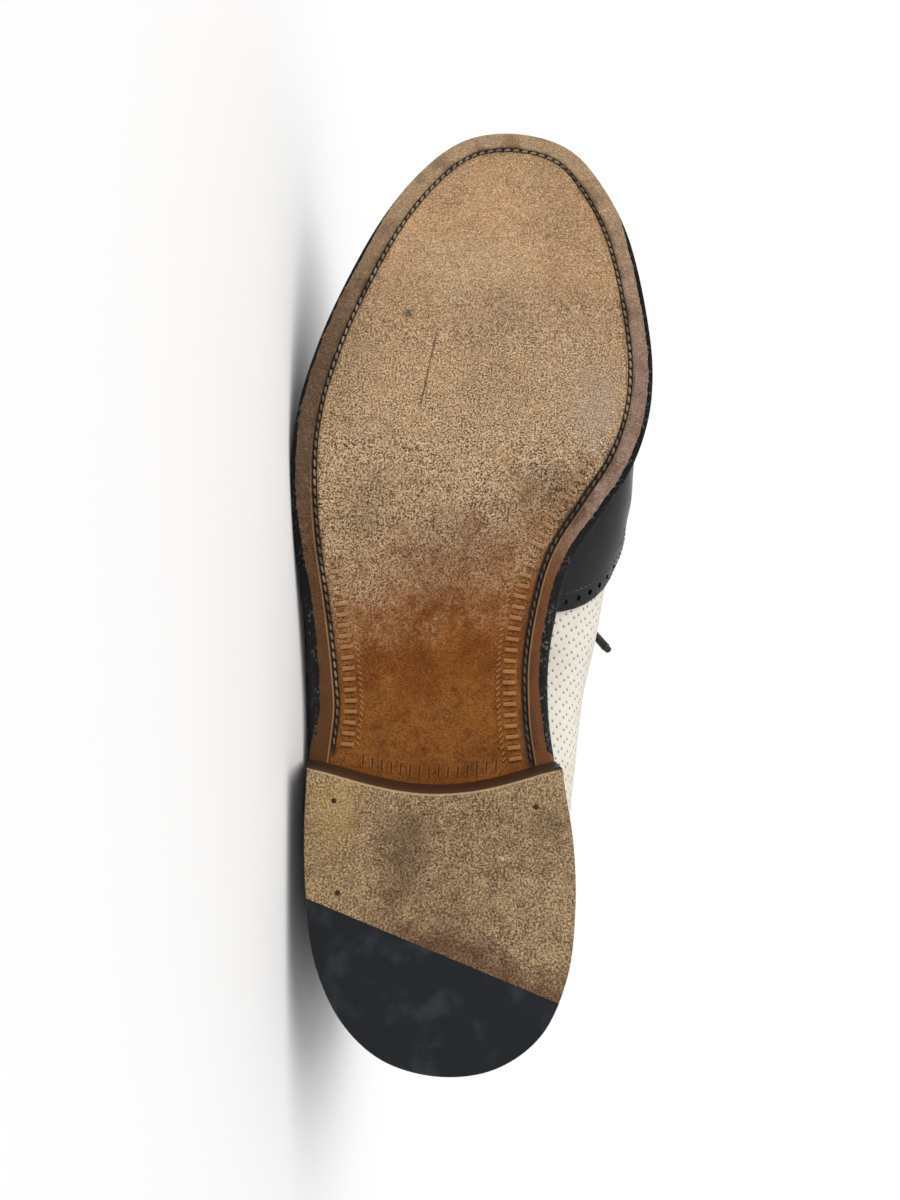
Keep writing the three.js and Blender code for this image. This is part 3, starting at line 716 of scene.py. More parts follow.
def fibre_group():
    """Torn leather fibres: a net of thin curly hairs over fine pits and a pebbled grain."""
    inputs = {"Place": "Vector", "Size": "Float"}
    outputs = ["Hairs", "Pits", "Pebble", "Height"]
    group, (place, size), made = shader_group("torn leather fibres", inputs, outputs)

    def hairs(factor, turn, thin):
        turned = field(group, "Mapping", {"Vector": place, "Rotation": (0, 0, turn), "Scale": (1, 0.55, 1)})
        return ramped(abs(grains(turned, size / factor, 1.0, 0.6, 1.6) - 0.5), thin, 0.0)

    net = maths("MAXIMUM", hairs(0.6, 0.4, 0.07), hairs(0.72, 2.1, 0.065))
    net = maths("MAXIMUM", net, hairs(1.1, 1.2, 0.08) * 0.7)
    fine = grains(place, size / 2.1, 2.0, 0.6)
    pebble = grains(place, size / 1.8, 2.0, 0.6)
    coarse = grains(place, size / 0.25, 2.0, 0.5) - 0.5
    net = net * ramped(coarse, -0.3, 0.02)
    pits = ramped(fine + coarse * 0.1, 0.53, 0.42)
    feed(made, Hairs=net, Pits=pits, Pebble=pebble, Height=net * 0.6 + fine + pebble - pits * 0.5)
    return group


def spot_group():
    """A blotch with a ragged rim about a centre."""
    inputs = {"Place": "Vector", "Centre": "Vector", "Reach": "Vector"}
    group, (place, centre, reach), made = shader_group("ragged spot", inputs, ["Mask"])
    share = vector_maths("DIVIDE", vector_maths("SUBTRACT", place, centre), reach)
    length = field(group, "VectorMath", {0: share}, "Value", operation="LENGTH")
    ragged = (grains(share, 1 / 2.2, 4.0, 0.62) - 0.5) * 1.8
    feed(made, Mask=ramped(length + ragged, 1.0, 0.15))
    return group


def scratch_group():
    """A straight scratch between two places, thin at its ends and broken along its way."""
    inputs = {"Place": "Vector", "Start": "Vector", "End": "Vector", "Width": "Float"}
    group, (place, start, end, width), made = shader_group("scratch", inputs, ["Mask"])
    away = vector_maths("SUBTRACT", vector_maths("MULTIPLY", place, (1, 1, 0)), start)
    line = vector_maths("SUBTRACT", end, start)
    along = vector_maths("DOT_PRODUCT", away, line, "Value")
    square = vector_maths("DOT_PRODUCT", line, line, "Value")
    share = maths("MINIMUM", maths("MAXIMUM", along / square, 0.0), 1.0)
    foot = field(group, "VectorMath", {0: line, "Scale": share}, operation="SCALE")
    gap = vector_maths("DISTANCE", away, foot, "Value")
    taper = maths("SINE", share * math.pi) * 0.65 + 0.35
    reach = width * grains(place, 0.0015, 2) * 2.0 * taper
    feed(made, Mask=maths("MAXIMUM", maths("SUBTRACT", 1.0, gap / reach), 0.0))
    return group


TORN_FIBRES = fibre_group()
RAGGED_SPOT = spot_group()
SCRATCH = scratch_group()

# Where the sole is stained or bleached: place, reach, strength, colour.
SOLE_SPOTS = table(
    "at reach share colour",
    ((0.243, -0.006), (0.02, 0.03), 0.85, paint(232, 190, 146)),
    ((0.222, 0.002), (0.02, 0.022), 0.35, paint(150, 124, 104)),
    ((0.257, 0.022), (0.02, 0.012), 0.3, paint(150, 112, 78)),
    ((0.205, 0.026), (0.035, 0.014), 0.45, paint(196, 164, 140)),
    ((0.19, 0.034), (0.016, 0.009), 0.7, paint(196, 168, 150)),
    ((0.188, -0.046), (0.02, 0.01), 0.8, paint(166, 108, 46)),
    ((0.215, -0.042), (0.03, 0.009), 0.22, paint(128, 104, 82)),
    ((0.166, 0.023), (0.02, 0.017), 0.95, paint(98, 66, 52)),
    ((0.152, 0.012), (0.012, 0.01), 0.45, paint(112, 80, 62)),
    ((0.172, -0.03), (0.022, 0.02), 0.35, paint(120, 96, 70)),
    ((0.2229, -0.0259), (0.0028, 0.0022), 0.75, paint(94, 82, 70)),
    ((0.182, -0.0197), (0.001, 0.001), 0.9, paint(52, 42, 36)),
    ((0.1955, 0.0294), (0.0008, 0.0008), 0.9, paint(48, 38, 32)),
    ((0.2096, -0.0059), (0.0006, 0.0006), 1.0, paint(245, 235, 220)),
)

# Where dirt lies over the torn fibres too.
SOLE_SHADES = table(
    "at reach share colour",
    ((0.167, 0.023), (0.018, 0.016), 0.3, paint(98, 68, 54)),
    ((0.149, -0.004), (0.02, 0.026), 0.35, paint(112, 76, 52)),
    ((0.158, -0.034), (0.022, 0.014), 0.3, paint(120, 92, 62)),
    ((0.2229, -0.0259), (0.003, 0.0024), 0.5, paint(86, 74, 62)),
    ((0.226, 0.004), (0.02, 0.02), 0.1, paint(138, 114, 94)),
    ((0.212, -0.044), (0.03, 0.01), 0.15, paint(122, 98, 74)),
    ((0.196, 0.036), (0.022, 0.01), 0.4, paint(206, 178, 158)),
)

# Scores in the forepart: where each starts and ends, how wide and how dark.
SOLE_SCRATCHES = table(
    "start end width share",
    ((0.2183, -0.0161), (0.2046, -0.0179), 0.00042, 0.8),
    ((0.2052, -0.0178), (0.1903, -0.0198), 0.00052, 0.9),
    ((0.208, -0.0004), (0.2038, 0.0127), 0.00026, 0.6),
    ((0.2103, -0.0442), (0.2088, -0.013), 0.0002, 0.45),
    ((0.2524, -0.0094), (0.2548, 0.0078), 0.0003, 0.5),
    ((0.2452, -0.021), (0.2492, -0.0015), 0.00022, 0.4),
    ((0.2336, -0.0496), (0.2342, -0.0385), 0.0003, 0.5),
    ((0.264, 0.0035), (0.2571, 0.0142), 0.0002, 0.35),
    ((0.2312, 0.0101), (0.2398, 0.0205), 0.0002, 0.35),
)

# The forepart is scoured; its fibres thin out over this stretch of the waist, further on the
# outer half than on the inner.
SCOUR_FULL = 0.176
SCOUR_GONE = 0.119
SCOUR_SLANT = 0.35


def stained(colour, spots, where):
    """A colour with ragged stains on it."""
    flat = vector_maths("MULTIPLY", where, (1, 1, 0))
    for spot in spots:
        mask = placed(RAGGED_SPOT, flat, Centre=(*spot["at"], 0), Reach=(*spot["reach"], 1))[0]
        colour = mixed(mask * spot["share"], colour, spot["colour"])
    return colour


def attribute(tree, name):
    return field(tree, "Attribute", output="Fac", attribute_name=name)


def worn_sole_leather():
    material, tree, shader = new_material("worn oak leather")
    where = shoe_place(tree)
    x, y = parted(where)[:2]
    inset = attribute(tree, "inset")
    hairs, pits, pebble, height = placed(TORN_FIBRES, where, Size=0.001)
    # Painted shade in the hollows of the pebbled grain and painted highlight on its crests.
    grain_hollow_shade = ramped(pebble, 0.5, 0.38)
    grain_crest_highlight = ramped(pebble, 0.5, 0.62)
    broad = grains(where, 0.03, 3, 0.6)
    blotchy = grains(where, 0.009, 4, 0.62)
    grit = grains(where, 0.0012, 3, 0.7)

    # How far the grain is scoured away, from 0 in the polished waist to 1 in the forepart.
    reached = x - y * SCOUR_SLANT + (blotchy - 0.5) * 0.06 + (grit - 0.5) * 0.035
    scoured = ramped(reached, SCOUR_GONE, SCOUR_FULL)

    # The scoured face: grey tan, darker in its pits, with pale hairs, and painted shade and painted
    # highlights on its pebbled grain.
    face = mixed(ramped(broad, 0.32, 0.68), paint(202, 154, 109), paint(236, 182, 130))
    face = mixed(ramped(blotchy, 0.45, 0.8) * 0.5, face, paint(142, 112, 84))
    face = stained(face, SOLE_SPOTS, where)
    rougher = ramped(x, 0.245, 0.17, 0.36, 1.0)
    face = mixed(pits * rougher, face, paint(60, 36, 18))
    face = mixed(hairs * rougher, face, paint(248, 208, 160))
    # Painted shade in the grain's hollows and painted highlights on its crests, strongest in the forepart and
    # in patches.
    relief_shading_share = ramped(x, 0.26, 0.18, 0.4, 0.72) * ramped(blotchy, 0.3, 0.6, 0.75, 1.1)
    face = mixed(grain_hollow_shade * relief_shading_share, face, paint(66, 42, 24))
    face = mixed(grain_crest_highlight * relief_shading_share, face, paint(255, 234, 200))
    face = stained(face, SOLE_SHADES, where)

    # The polished waist: russet, mottled, darker in its pits, with painted shade in the grain's hollows and
    # painted highlights on its crests, and a few pale scuffs left in it.
    russet = mixed(ramped(blotchy, 0.3, 0.72), paint(104, 50, 0), paint(132, 70, 4))
    russet = mixed(pits * 0.45, russet, paint(84, 44, 12))
    russet = mixed(grain_hollow_shade * 0.4, russet, paint(60, 26, 4))
    russet = mixed(grain_crest_highlight * 0.32, russet, paint(172, 100, 20))
    russet = mixed(hairs * ramped(broad, 0.4, 0.6, 0.1, 0.42), russet, paint(190, 130, 64))
    colour = mixed(scoured, russet, face)

    # The margin outside the channel keeps more of its dark stain.
    inner = ramped(y, 0.0, 0.02)
    margin = mixed(inner, paint(108, 78, 58), paint(182, 150, 132))
    margin = mixed(ramped(x, 0.2, 0.285), margin, paint(212, 176, 136))
    margin = mixed(ramped(x, 0.17, 0.14), margin, mixed(inner, paint(98, 60, 26), paint(118, 72, 36)))
    margin = mixed(ramped(blotchy, 0.45, 0.7) * 0.5, margin, paint(104, 68, 50))
    margin = mixed(pits * 0.4, margin, paint(58, 40, 30))
    margin = mixed(hairs * scoured * 0.25, margin, paint(206, 178, 146))
    colour = mixed(ramped(inset, CHANNEL_INSET + 0.0002, CHANNEL_INSET - 0.0006), colour, margin)

    # The channel is coloured dark, widest in the inner waist; a blotchy darker band lies beside it, and its
    # lip is rubbed pale.
    channel = abs(inset - CHANNEL_INSET) / (inner * ramped(x, 0.19, 0.16) * 0.7 + 1.0)
    channel_darkening = ramped(channel, 0.00095, 0.00055) * ramped(x, 0.082, 0.085)
    colour = mixed(channel_darkening * 0.9, colour, paint(34, 24, 18))
    channel_side_darkening = ramped(channel, 0.0024, 0.0007) * ramped(blotchy, 0.35, 0.65)
    colour = mixed(channel_side_darkening * 0.6, colour, paint(60, 40, 28))
    lip = ramped(abs(inset - (CHANNEL_INSET - 0.0012)), 0.0003, 0.0001) * ramped(x, 0.19, 0.15)
    colour = mixed(lip * 0.5, colour, paint(196, 150, 102))
    for score in SOLE_SCRATCHES:
        ends = {"Start": (*score["start"], 0), "End": (*score["end"], 0)}
        mask = placed(SCRATCH, where, Width=score["width"], **ends)[0]
        colour = mixed(mask * score["share"], colour, paint(58, 42, 32))

    # Ink on the bevelled edge, scuffed and worn off at the toe.
    ragged = (grit - 0.5) * 0.0007 + (blotchy - 0.5) * 0.0016
    inked = ramped(attribute(tree, "ink") + ragged, 0.00012, -0.00012)
    scuffs = ramped(grit, 0.52, 0.66) * ramped(blotchy, 0.42, 0.6)
    colour = mixed(inked, colour, mixed(scuffs, paint(19, 19, 20), paint(104, 100, 95)))

    # Tool marks: the bars' tops are rubbed pale with a painted highlight, and painted shade lies round their
    # foot and in the cuts.
    tool_light_and_shade = attribute(tree, "tool_light_and_shade")
    colour = mixed(ramped(tool_light_and_shade, 0.0, -1.0) * 0.85, colour, paint(54, 30, 12))
    colour = mixed(ramped(tool_light_and_shade, 0.2, 1.0) * 0.36, colour, paint(206, 156, 104))

    relief = field(tree, "Mix", {0: scoured, 2: grit * 0.25, 3: height})
    roughness = field(tree, "Mix", {0: scoured, 2: ramped(blotchy, 0.3, 0.75, 0.34, 0.52), 3: 0.86})
    feed(shader, Base_Color=colour, Roughness=roughness, Normal=bumped(relief, 0.00045, 0.9))
    feed(shader, Specular_IOR_Level=0.16)
    return material


SOLE_LEATHER = worn_sole_leather()
piece("worn_outsole", outsole_mesh(), SOLE_LEATHER, "sole_leather", "outsole")

# The channel stitches. Waxed linen thread locks sole and welt together; each stitch lies in the
# channel as a short twisted strand that dives into the leather at both ends.
STITCH_PITCH = 0.003
STITCH_LENGTH = 0.0024
STITCH_WIDTH = 0.00082
STITCH_START = 0.281


def edge_line(first_share, inset, depth=0.0):
    """A line inside the sole's edge from the outer waist round the toe to the inner waist."""
    edge = ring(less(seat_grow, inset), lambda along: underside(along) + depth)
    return [at for at, point in zip(edge, AROUND) if point.along >= first_share]


def stations(line, pitch, start=0.0):
    """Places a pitch apart along an open line, each with the direction of the line there."""
    found = []
    travelled = start
    for one, two in zip(line, line[1:]):
        step = (two - one).length
        while travelled < step:
            found.append((one.lerp(two, travelled / step), (two - one).normalized()))
            travelled += pitch
        travelled -= step
    return found


def standing_frame(at, ahead, outwards):
    """A frame at a place: X ahead along the surface, Z out of it."""
    side = outwards.cross(ahead).normalized()
    turned = Matrix((ahead, side, ahead.cross(side))).transposed().to_4x4()
    turned.translation = at
    return turned


def joined_copies(model, frames):
    """One mesh of many copies of a small model, each set into its frame."""
    bm = bmesh.new()
    for at_frame in frames:
        before = len(bm.verts)
        bm.from_mesh(model)
        bm.verts.ensure_lookup_table()
        bmesh.ops.transform(bm, matrix=at_frame, verts=bm.verts[before:])
    for face in bm.faces:
        face.smooth = True
    return mesh_from(bm)


def model_mesh(made):
    """Takes the mesh out of a modelled object and deletes the object."""
    mesh = made.data
    bpy.data.objects.remove(made)
    return mesh


def stitch_model(length, width, sides=8, rings=7):
    """A short strand lying along X, thick in its middle and diving at its ends."""
    bpy.ops.mesh.primitive_uv_sphere_add(segments=sides, ring_count=rings, radius=1, location=(0, 0, 0))
    made = bpy.context.object
    for vert in made.data.vertices:
        x, y, z = vert.co.z, vert.co.x, vert.co.y
        round_off = (1 - x * x) ** 0.15 / max((1 - x * x) ** 0.5, 0.2) if abs(x) < 1 else 1
        vert.co = (
            x * length / 2,
            y * round_off * width / 2,
            z * round_off * width / 2 - 0.6 * width * x ** 4,
        )
    bpy.ops.object.mode_set(mode="EDIT")
    bpy.ops.mesh.select_all(action="SELECT")
    bpy.ops.mesh.normals_make_consistent(inside=False)
    bpy.ops.object.mode_set(mode="OBJECT")
    return model_mesh(made)


def waxed_thread(name, light, dark, dirt_size, inner_waist_darkening=0.0):
    """Two-ply thread, its twist drawn along each stitch with painted shade in the grooves between the plies,
    dirtied in patches and coloured darker in the inner waist.
    """
    material, tree, shader = new_material(name)
    around, along = parted(field(tree, "UVMap"))[:2]
    ply = maths("SINE", around * (4 * math.pi) + along * (12 * math.pi))
    where = shoe_place(tree)
    x, y = parted(where)[:2]
    colour = mixed(ramped(grains(where, dirt_size, 3), 0.38, 0.66), light, dark)
    inner_waist = ramped(y, 0.0, 0.02) * ramped(x, 0.19, 0.16)
    # Coloured darker in the inner waist.
    colour = mixed(inner_waist * inner_waist_darkening, colour, paint(36, 28, 22))
    # Painted shade in the grooves between the plies.
    colour = mixed(ramped(ply, 0.2, -0.9, 0.0, 0.6), colour, paint(40, 30, 24))
    feed(shader, Base_Color=colour, Normal=bumped(ply, 0.00012, 0.8), Roughness=0.6)
    return material


SOLE_THREAD = waxed_thread("worn sole thread", paint(176, 158, 132), paint(96, 78, 62), 0.012, 0.75)
DOWN = Vector((0, 0, -1))
TWIST = math.radians(9)
stitch = stitch_model(STITCH_LENGTH, STITCH_WIDTH)
frames = []
for at, ahead in stations(edge_line(STITCH_START, CHANNEL_INSET, 0.00022), STITCH_PITCH, 0.0012):
    frames.append(standing_frame(at, ahead, DOWN) @ Matrix.Rotation(TWIST, 4, "Z"))
piece("channel_stitches", joined_copies(stitch, frames), SOLE_THREAD, "sole_leather")

# The tooled ornament of the waist. A hot wheel has run along each side of it and left a ladder of
# raised bars with a row of slanting nicks beside it; short cuts fan out in front of the heel.
BAR_PITCH = 0.0034
BAR_LENGTH = 0.005
BAR_WIDTH = 0.0032
BAR_RISE = 0.00045
NICK_PITCH = 0.00185
NICK_LENGTH = 0.0018
NICK_WIDTH = 0.0014
CUT_PITCH = 0.00295
CUT_LENGTH = 0.0046
CUT_WIDTH = 0.0024
CUT_AHEAD = 0.0036
CUT_FROM = -0.03
CUT_COUNT = 15
PRESSED_LIFT = 0.00006
# Where each ladder runs: its side, from and to along the sole, and how far inside the edge its
# bars and its nicks lie.
LADDERS = table(
    "name side start end bars nicks",
    ("inner", 1, 0.29, 0.585, 0.0123, 0.0158),
    ("outer", -1, 0.282, 0.46, 0.0116, 0.015),
)


def pressed_model(length, width, rise, plateau, middle=1.0):
    """A pressed mark: a raised (or cut) middle, a sunken ring round it painted dark as shade, and a rim
    that dives into the sole. Its attribute is 1 on a bar's top, rubbed pale and given a painted
    highlight, and -1 in the ring of painted shade; a cut's middle is painted shade standing in for a
    groove, with a painted highlight round it."""
    bpy.ops.mesh.primitive_grid_add(x_subdivisions=14, y_subdivisions=12, size=1, location=(0, 0, 0))
    made = bpy.context.object
    layers = {name: made.data.attributes.new(name, "FLOAT", "POINT") for name in ("tool_light_and_shade", "inset", "ink")}
    for k, vert in enumerate(made.data.vertices):
        x, y = 2 * vert.co.x, 2 * vert.co.y
        away = max(abs(x) ** 5, abs(y))
        top = 1 - ease(min(max((away - plateau) / 0.22, 0), 1))
        # The ring of painted shade round the foot of a bar; round a cut it becomes a painted highlight.
        ring = (1 - min(abs(abs(y) - plateau - 0.26) / 0.26, 1)) * (1 - x ** 4)
        layers["tool_light_and_shade"].data[k].value = middle * top - (1 - top) * ring * (1 if middle > 0 else -0.8)
        layers["inset"].data[k].value = CHANNEL_INSET + BAR_LENGTH
        layers["ink"].data[k].value = BAR_LENGTH
        lift = -PRESSED_LIFT if away > 0.97 else PRESSED_LIFT
        vert.co = (x * length / 2, y * width / 2, rise * top + lift)
    return model_mesh(made)


def ladder_frames(ladder, inset, pitch, slant=0.0):
    line = []
    for at, point in zip(ring(less(seat_grow, inset), underside), AROUND):
        if point.side == ladder["side"] and ladder["start"] <= point.along <= ladder["end"]:
            line.append(at)
    if ladder["side"] > 0:
        line.reverse()
    made = []
    for at, ahead in stations(line, pitch):
        across = DOWN.cross(ahead).normalized()
        made.append(standing_frame(at, across, ahead.cross(across)) @ Matrix.Rotation(slant, 4, "Z"))
    return made


bar = pressed_model(BAR_LENGTH, BAR_WIDTH, BAR_RISE, 0.3)
nick = pressed_model(NICK_LENGTH, NICK_WIDTH, 0.5 * BAR_RISE, 0.3)
cut = pressed_model(CUT_LENGTH, CUT_WIDTH, -PRESSED_LIFT / 2, 0.1, -1.0)
for ladder in LADDERS:
    slant = ladder["side"] * math.radians(40)
    bars = joined_copies(bar, ladder_frames(ladder, ladder["bars"], BAR_PITCH))
    piece("tooled_bars_" + ladder["name"], bars, SOLE_LEATHER, "sole_leather")
    nicks = joined_copies(nick, ladder_frames(ladder, ladder["nicks"], NICK_PITCH, slant))
    piece("tooled_nicks_" + ladder["name"], nicks, SOLE_LEATHER, "sole_leather")

# The welt. A strip of black-dyed leather round the whole shoe between upper and sole; its top
# carries the row of light stitches that shows beside the upper.
WALL = 0.002


def hollow_ring_mesh(outside, inside):
    """A closed frame between outer rings and inner rings, both lowest first."""
    bm = bmesh.new()
    rows = [[bm.verts.new(point) for point in points] for points in outside + inside[::-1]]
    for low, high in zip(rows, rows[1:] + rows[:1]):
        ring_faces(bm, low, high)
    bmesh.ops.recalc_face_normals(bm, faces=bm.faces)
    return mesh_from(bm)


def over_sole(height):
    return lambda along: underside(along) + OUTSOLE_THICKNESS + FIT_GAP + height


def welt_hole(point):
    return feather_grow(point) - WALL


def inked_edge_leather():
    material, tree, shader = new_material("inked edge leather")
    where = shoe_place(tree)
    mottle = grains(where, 0.004, 3)
    colour = mixed(ramped(mottle, 0.3, 0.75), paint(18, 17, 17), paint(38, 35, 33))
    scuffed = ramped(grains(where, 0.0011, 3, 0.7), 0.56, 0.7) * ramped(mottle, 0.46, 0.62, 0.0, 0.6)
    colour = mixed(scuffed, colour, paint(96, 92, 88))
    brown = mixed(mottle, paint(40, 26, 17), paint(70, 47, 32))
    colour = mixed(attribute(tree, "breast"), colour, brown)
    feed(shader, Base_Color=colour, Roughness=0.42, Specular_IOR_Level=0.35)
    return material


EDGE_LEATHER = inked_edge_leather()
welt_outside = [
    ring(less(welt_grow, 0.0003), over_sole(0)),
    ring(welt_grow, over_sole(0.0003)),
    ring(welt_grow, over_sole(WELT_THICKNESS - 0.0005)),
    ring(less(welt_grow, 0.0005), over_sole(WELT_THICKNESS)),
]
welt_inside = [ring(welt_hole, over_sole(0)), ring(welt_hole, over_sole(WELT_THICKNESS))]
piece("stitched_welt", hollow_ring_mesh(welt_outside, welt_inside), EDGE_LEATHER, "edge_leather", "welt")

# The welt stitches. The same thread as in the channel shows on top of the welt as a row of light
# stitches beside the upper.
WELT_STITCH_INSET = 0.0016
WELT_STITCH_WIDTH = 0.0007
WELT_STITCH_LIFT = 0.00008
UP = Vector((0, 0, 1))
welt_edge = ring(less(welt_grow, WELT_STITCH_INSET), over_sole(WELT_THICKNESS + WELT_STITCH_LIFT))
welt_line = [at for at, point in zip(welt_edge, AROUND) if point.along >= STITCH_START]
welt_stitch = stitch_model(STITCH_LENGTH, WELT_STITCH_WIDTH)
welt_frames = [standing_frame(at, ahead, UP) for at, ahead in stations(welt_line, STITCH_PITCH)]
piece("welt_stitches", joined_copies(welt_stitch, welt_frames), SOLE_THREAD, "edge_leather")

# The heel stack. Lifts of dyed leather glued and nailed one on another, sanded to one face,
# with a hollow breast that leans forwards as it rises.
TOP_PIECE_THICKNESS = 0.006
LIFT_COUNT = 3
BACK_POINTS = 110
BREAST_POINTS = 26
BREAST_CURVE = table(
    "side along",
    (-0.6, 0.268),
    (-0.387, 0.262),
    (-0.215, 0.2495),
    (-0.09, 0.2455),
    (0.03, 0.2505),
    (0.13, 0.261),
    (0.257, 0.277),
    (0.6, 0.3),
)
BREAST_LEAN = 0.13
breast_line = smooth_route(
    [(row["along"] * SOLE_LENGTH, row["side"] * BALL_WIDTH, 0) for row in BREAST_CURVE], 3
)


def breast_at(y, height):
    """Where the breast lies along the sole, at a place across it and a height."""
    for one, two in zip(breast_line, breast_line[1:]):
        if y <= two.y:
            share = (y - one.y) / (two.y - one.y)
            return one.x + (two.x - one.x) * share + BREAST_LEAN * height
    return breast_line[-1].x + BREAST_LEAN * height


def resampled(points, count):
    """The same open line with count points, evenly spaced."""
    lengths = [0.0]
    for one, two in zip(points, points[1:]):
        lengths.append(lengths[-1] + (two - one).length)
    made = []
    k = 0
    for n in range(count):
        target = lengths[-1] * n / (count - 1)
        while k + 2 < len(points) and lengths[k + 1] < target:
            k += 1
        share = (target - lengths[k]) / max(lengths[k + 1] - lengths[k], 1e-9)
        made.append(points[k].lerp(points[k + 1], min(share, 1)))
    return made


def heel_outline(height, inset=0.0):
    """The heel's plan at a height: from the inner corner round the back to the outer corner, then
    along the breast."""
    flare = height / HEEL_HEIGHT
    grown = [point.at + flare * seat_grow(point) * point.normal for point in AROUND]
    back = []
    for i in list(range(HALF, COUNT)) + list(range(0, HALF)):
        here = grown[i]
        after = grown[(i + 1) % COUNT]
        behind = breast_at(here.y, height) - here.x
        next_behind = breast_at(after.y, height) - after.x
        if behind >= 0:
            back.append(here.copy())
        if (behind >= 0) != (next_behind >= 0):
            back.append(here.lerp(after, behind / (behind - next_behind)))
    start, end = back[-1], back[0]
    front = []
    for k in range(BREAST_POINTS + 1):
        y = start.y + (end.y - start.y) * k / BREAST_POINTS
        front.append(Vector((breast_at(y, height), y, 0)))
    front[0], front[-1] = start.copy(), end.copy()
    outline = resampled(back, BACK_POINTS) + resampled(front, BREAST_POINTS)[1:-1]
    count = len(outline)
    moved = []
    for i, at in enumerate(outline):
        one = (at - outline[i - 1]).normalized()
        two = (outline[(i + 1) % count] - at).normalized()
        tangent = (one + two).normalized()
        corner = max(one.dot(tangent), 0.5)
        moved.append(at - Vector((tangent.y, -tangent.x, 0)) * inset / corner)
    return moved


def heel_mesh(levels, follows_seat=False):
    """A slice of the heel through levels of height and inset, lowest first."""
    bm = bmesh.new()
    breast = bm.verts.layers.float.new("breast")
    low, high = levels[0][0], levels[-1][0]
    rows = []
    for height, inset in levels:
        row = []
        for i, at in enumerate(heel_outline(height, inset)):
            seat = underside(min(max(at.x / SOLE_LENGTH, 0), BREAST)) - FIT_GAP - high if follows_seat else 0
            vert = bm.verts.new((at.x, at.y, height + seat * (height - low) / (high - low)))
            vert[breast] = 1.0 if i >= BACK_POINTS else 0.0
            row.append(vert)
        rows.append(row)
    for one, two in zip(rows, rows[1:]):
        ring_faces(bm, one, two)
    bm.faces.new(rows[0][::-1])
    bm.faces.new(rows[-1])
    return mesh_from(bm)


def smooth_by_angle(made, degrees=35):
    select_only(made)
    bpy.ops.object.shade_smooth_by_angle(angle=math.radians(degrees))


LIFT_LINE = 0.00018
stack_low = TOP_PIECE_THICKNESS + FIT_GAP
stack_levels = [(stack_low, 0.0003), (stack_low + 0.0003, 0)]
for lift in range(1, LIFT_COUNT):
    joint = stack_low + (HEEL_HEIGHT - stack_low) * lift / LIFT_COUNT
    stack_levels += [(joint - 0.00025, 0), (joint, LIFT_LINE), (joint + 0.00025, 0)]
stack_levels += [(HEEL_HEIGHT, 0)]
heel_stack = new_object("heel_lifts", heel_mesh(stack_levels, follows_seat=True))
smooth_by_angle(heel_stack)
finish_piece(heel_stack, EDGE_LEATHER, "heel_leather", "heel_stack")

# The cuts in front of the heel. The same hot tool has pressed a fan of short marks into the sole,
# close in front of the breast.
cut_frames = []
for k in range(CUT_COUNT):
    y = CUT_FROM + k * CUT_PITCH
    x = breast_at(y, HEEL_HEIGHT) + CUT_AHEAD
    z = underside(x / SOLE_LENGTH)
    nudge = 0.001
    slope = (underside((x + nudge) / SOLE_LENGTH) - z) / nudge
    ahead = Vector((1, 0, slope)).normalized()
    fan = Matrix.Rotation(math.radians(-60) * y, 4, "Z")
    cut_frames.append(standing_frame(Vector((x, y, z)), ahead, DOWN) @ fan)
piece("tooled_cuts_before_heel", joined_copies(cut, cut_frames), SOLE_LEATHER, "sole_leather")

# The top piece. The lift that treads the ground is thick leather with its grain scoured off; a
# black rubber corner is let in at the back of it, on a slanting joint, and both are nailed on.
WEDGE_OUTER = 0.1445
WEDGE_INNER = 0.0693
WEDGE_OUTER_SIDE = 0.364
WEDGE_INNER_SIDE = 0.261
wedge_outer_end = Vector((WEDGE_OUTER * SOLE_LENGTH, -WEDGE_OUTER_SIDE * BALL_WIDTH, 0))
wedge_inner_end = Vector((WEDGE_INNER * SOLE_LENGTH, WEDGE_INNER_SIDE * BALL_WIDTH, 0))
wedge_line = (wedge_inner_end - wedge_outer_end).normalized()
wedge_front = Vector((wedge_line.y, -wedge_line.x, 0))
JOINT_GAP = 0.00004
top_levels = [(0, 0.0007), (0.00015, 0.0003), (0.0005, 0.0001), (0.0009, 0)]
top_levels += [(TOP_PIECE_THICKNESS - 0.0003, 0), (TOP_PIECE_THICKNESS, 0.0003)]


def top_part(name, side):
    """The top piece in front of its joint (side 1) or behind it (side -1)."""
    made = new_object(name, heel_mesh(top_levels))
    place = LAID @ (wedge_outer_end + side * wedge_front * JOINT_GAP / 2)
    normal = LAID.to_3x3() @ (side * wedge_front)
    bpy.ops.object.mode_set(mode="EDIT")
    bpy.ops.mesh.select_all(action="SELECT")
    bpy.ops.mesh.bisect(plane_co=place, plane_no=normal, use_fill=True, clear_inner=True)
    bpy.ops.object.mode_set(mode="OBJECT")
    smooth_by_angle(made)
    return made


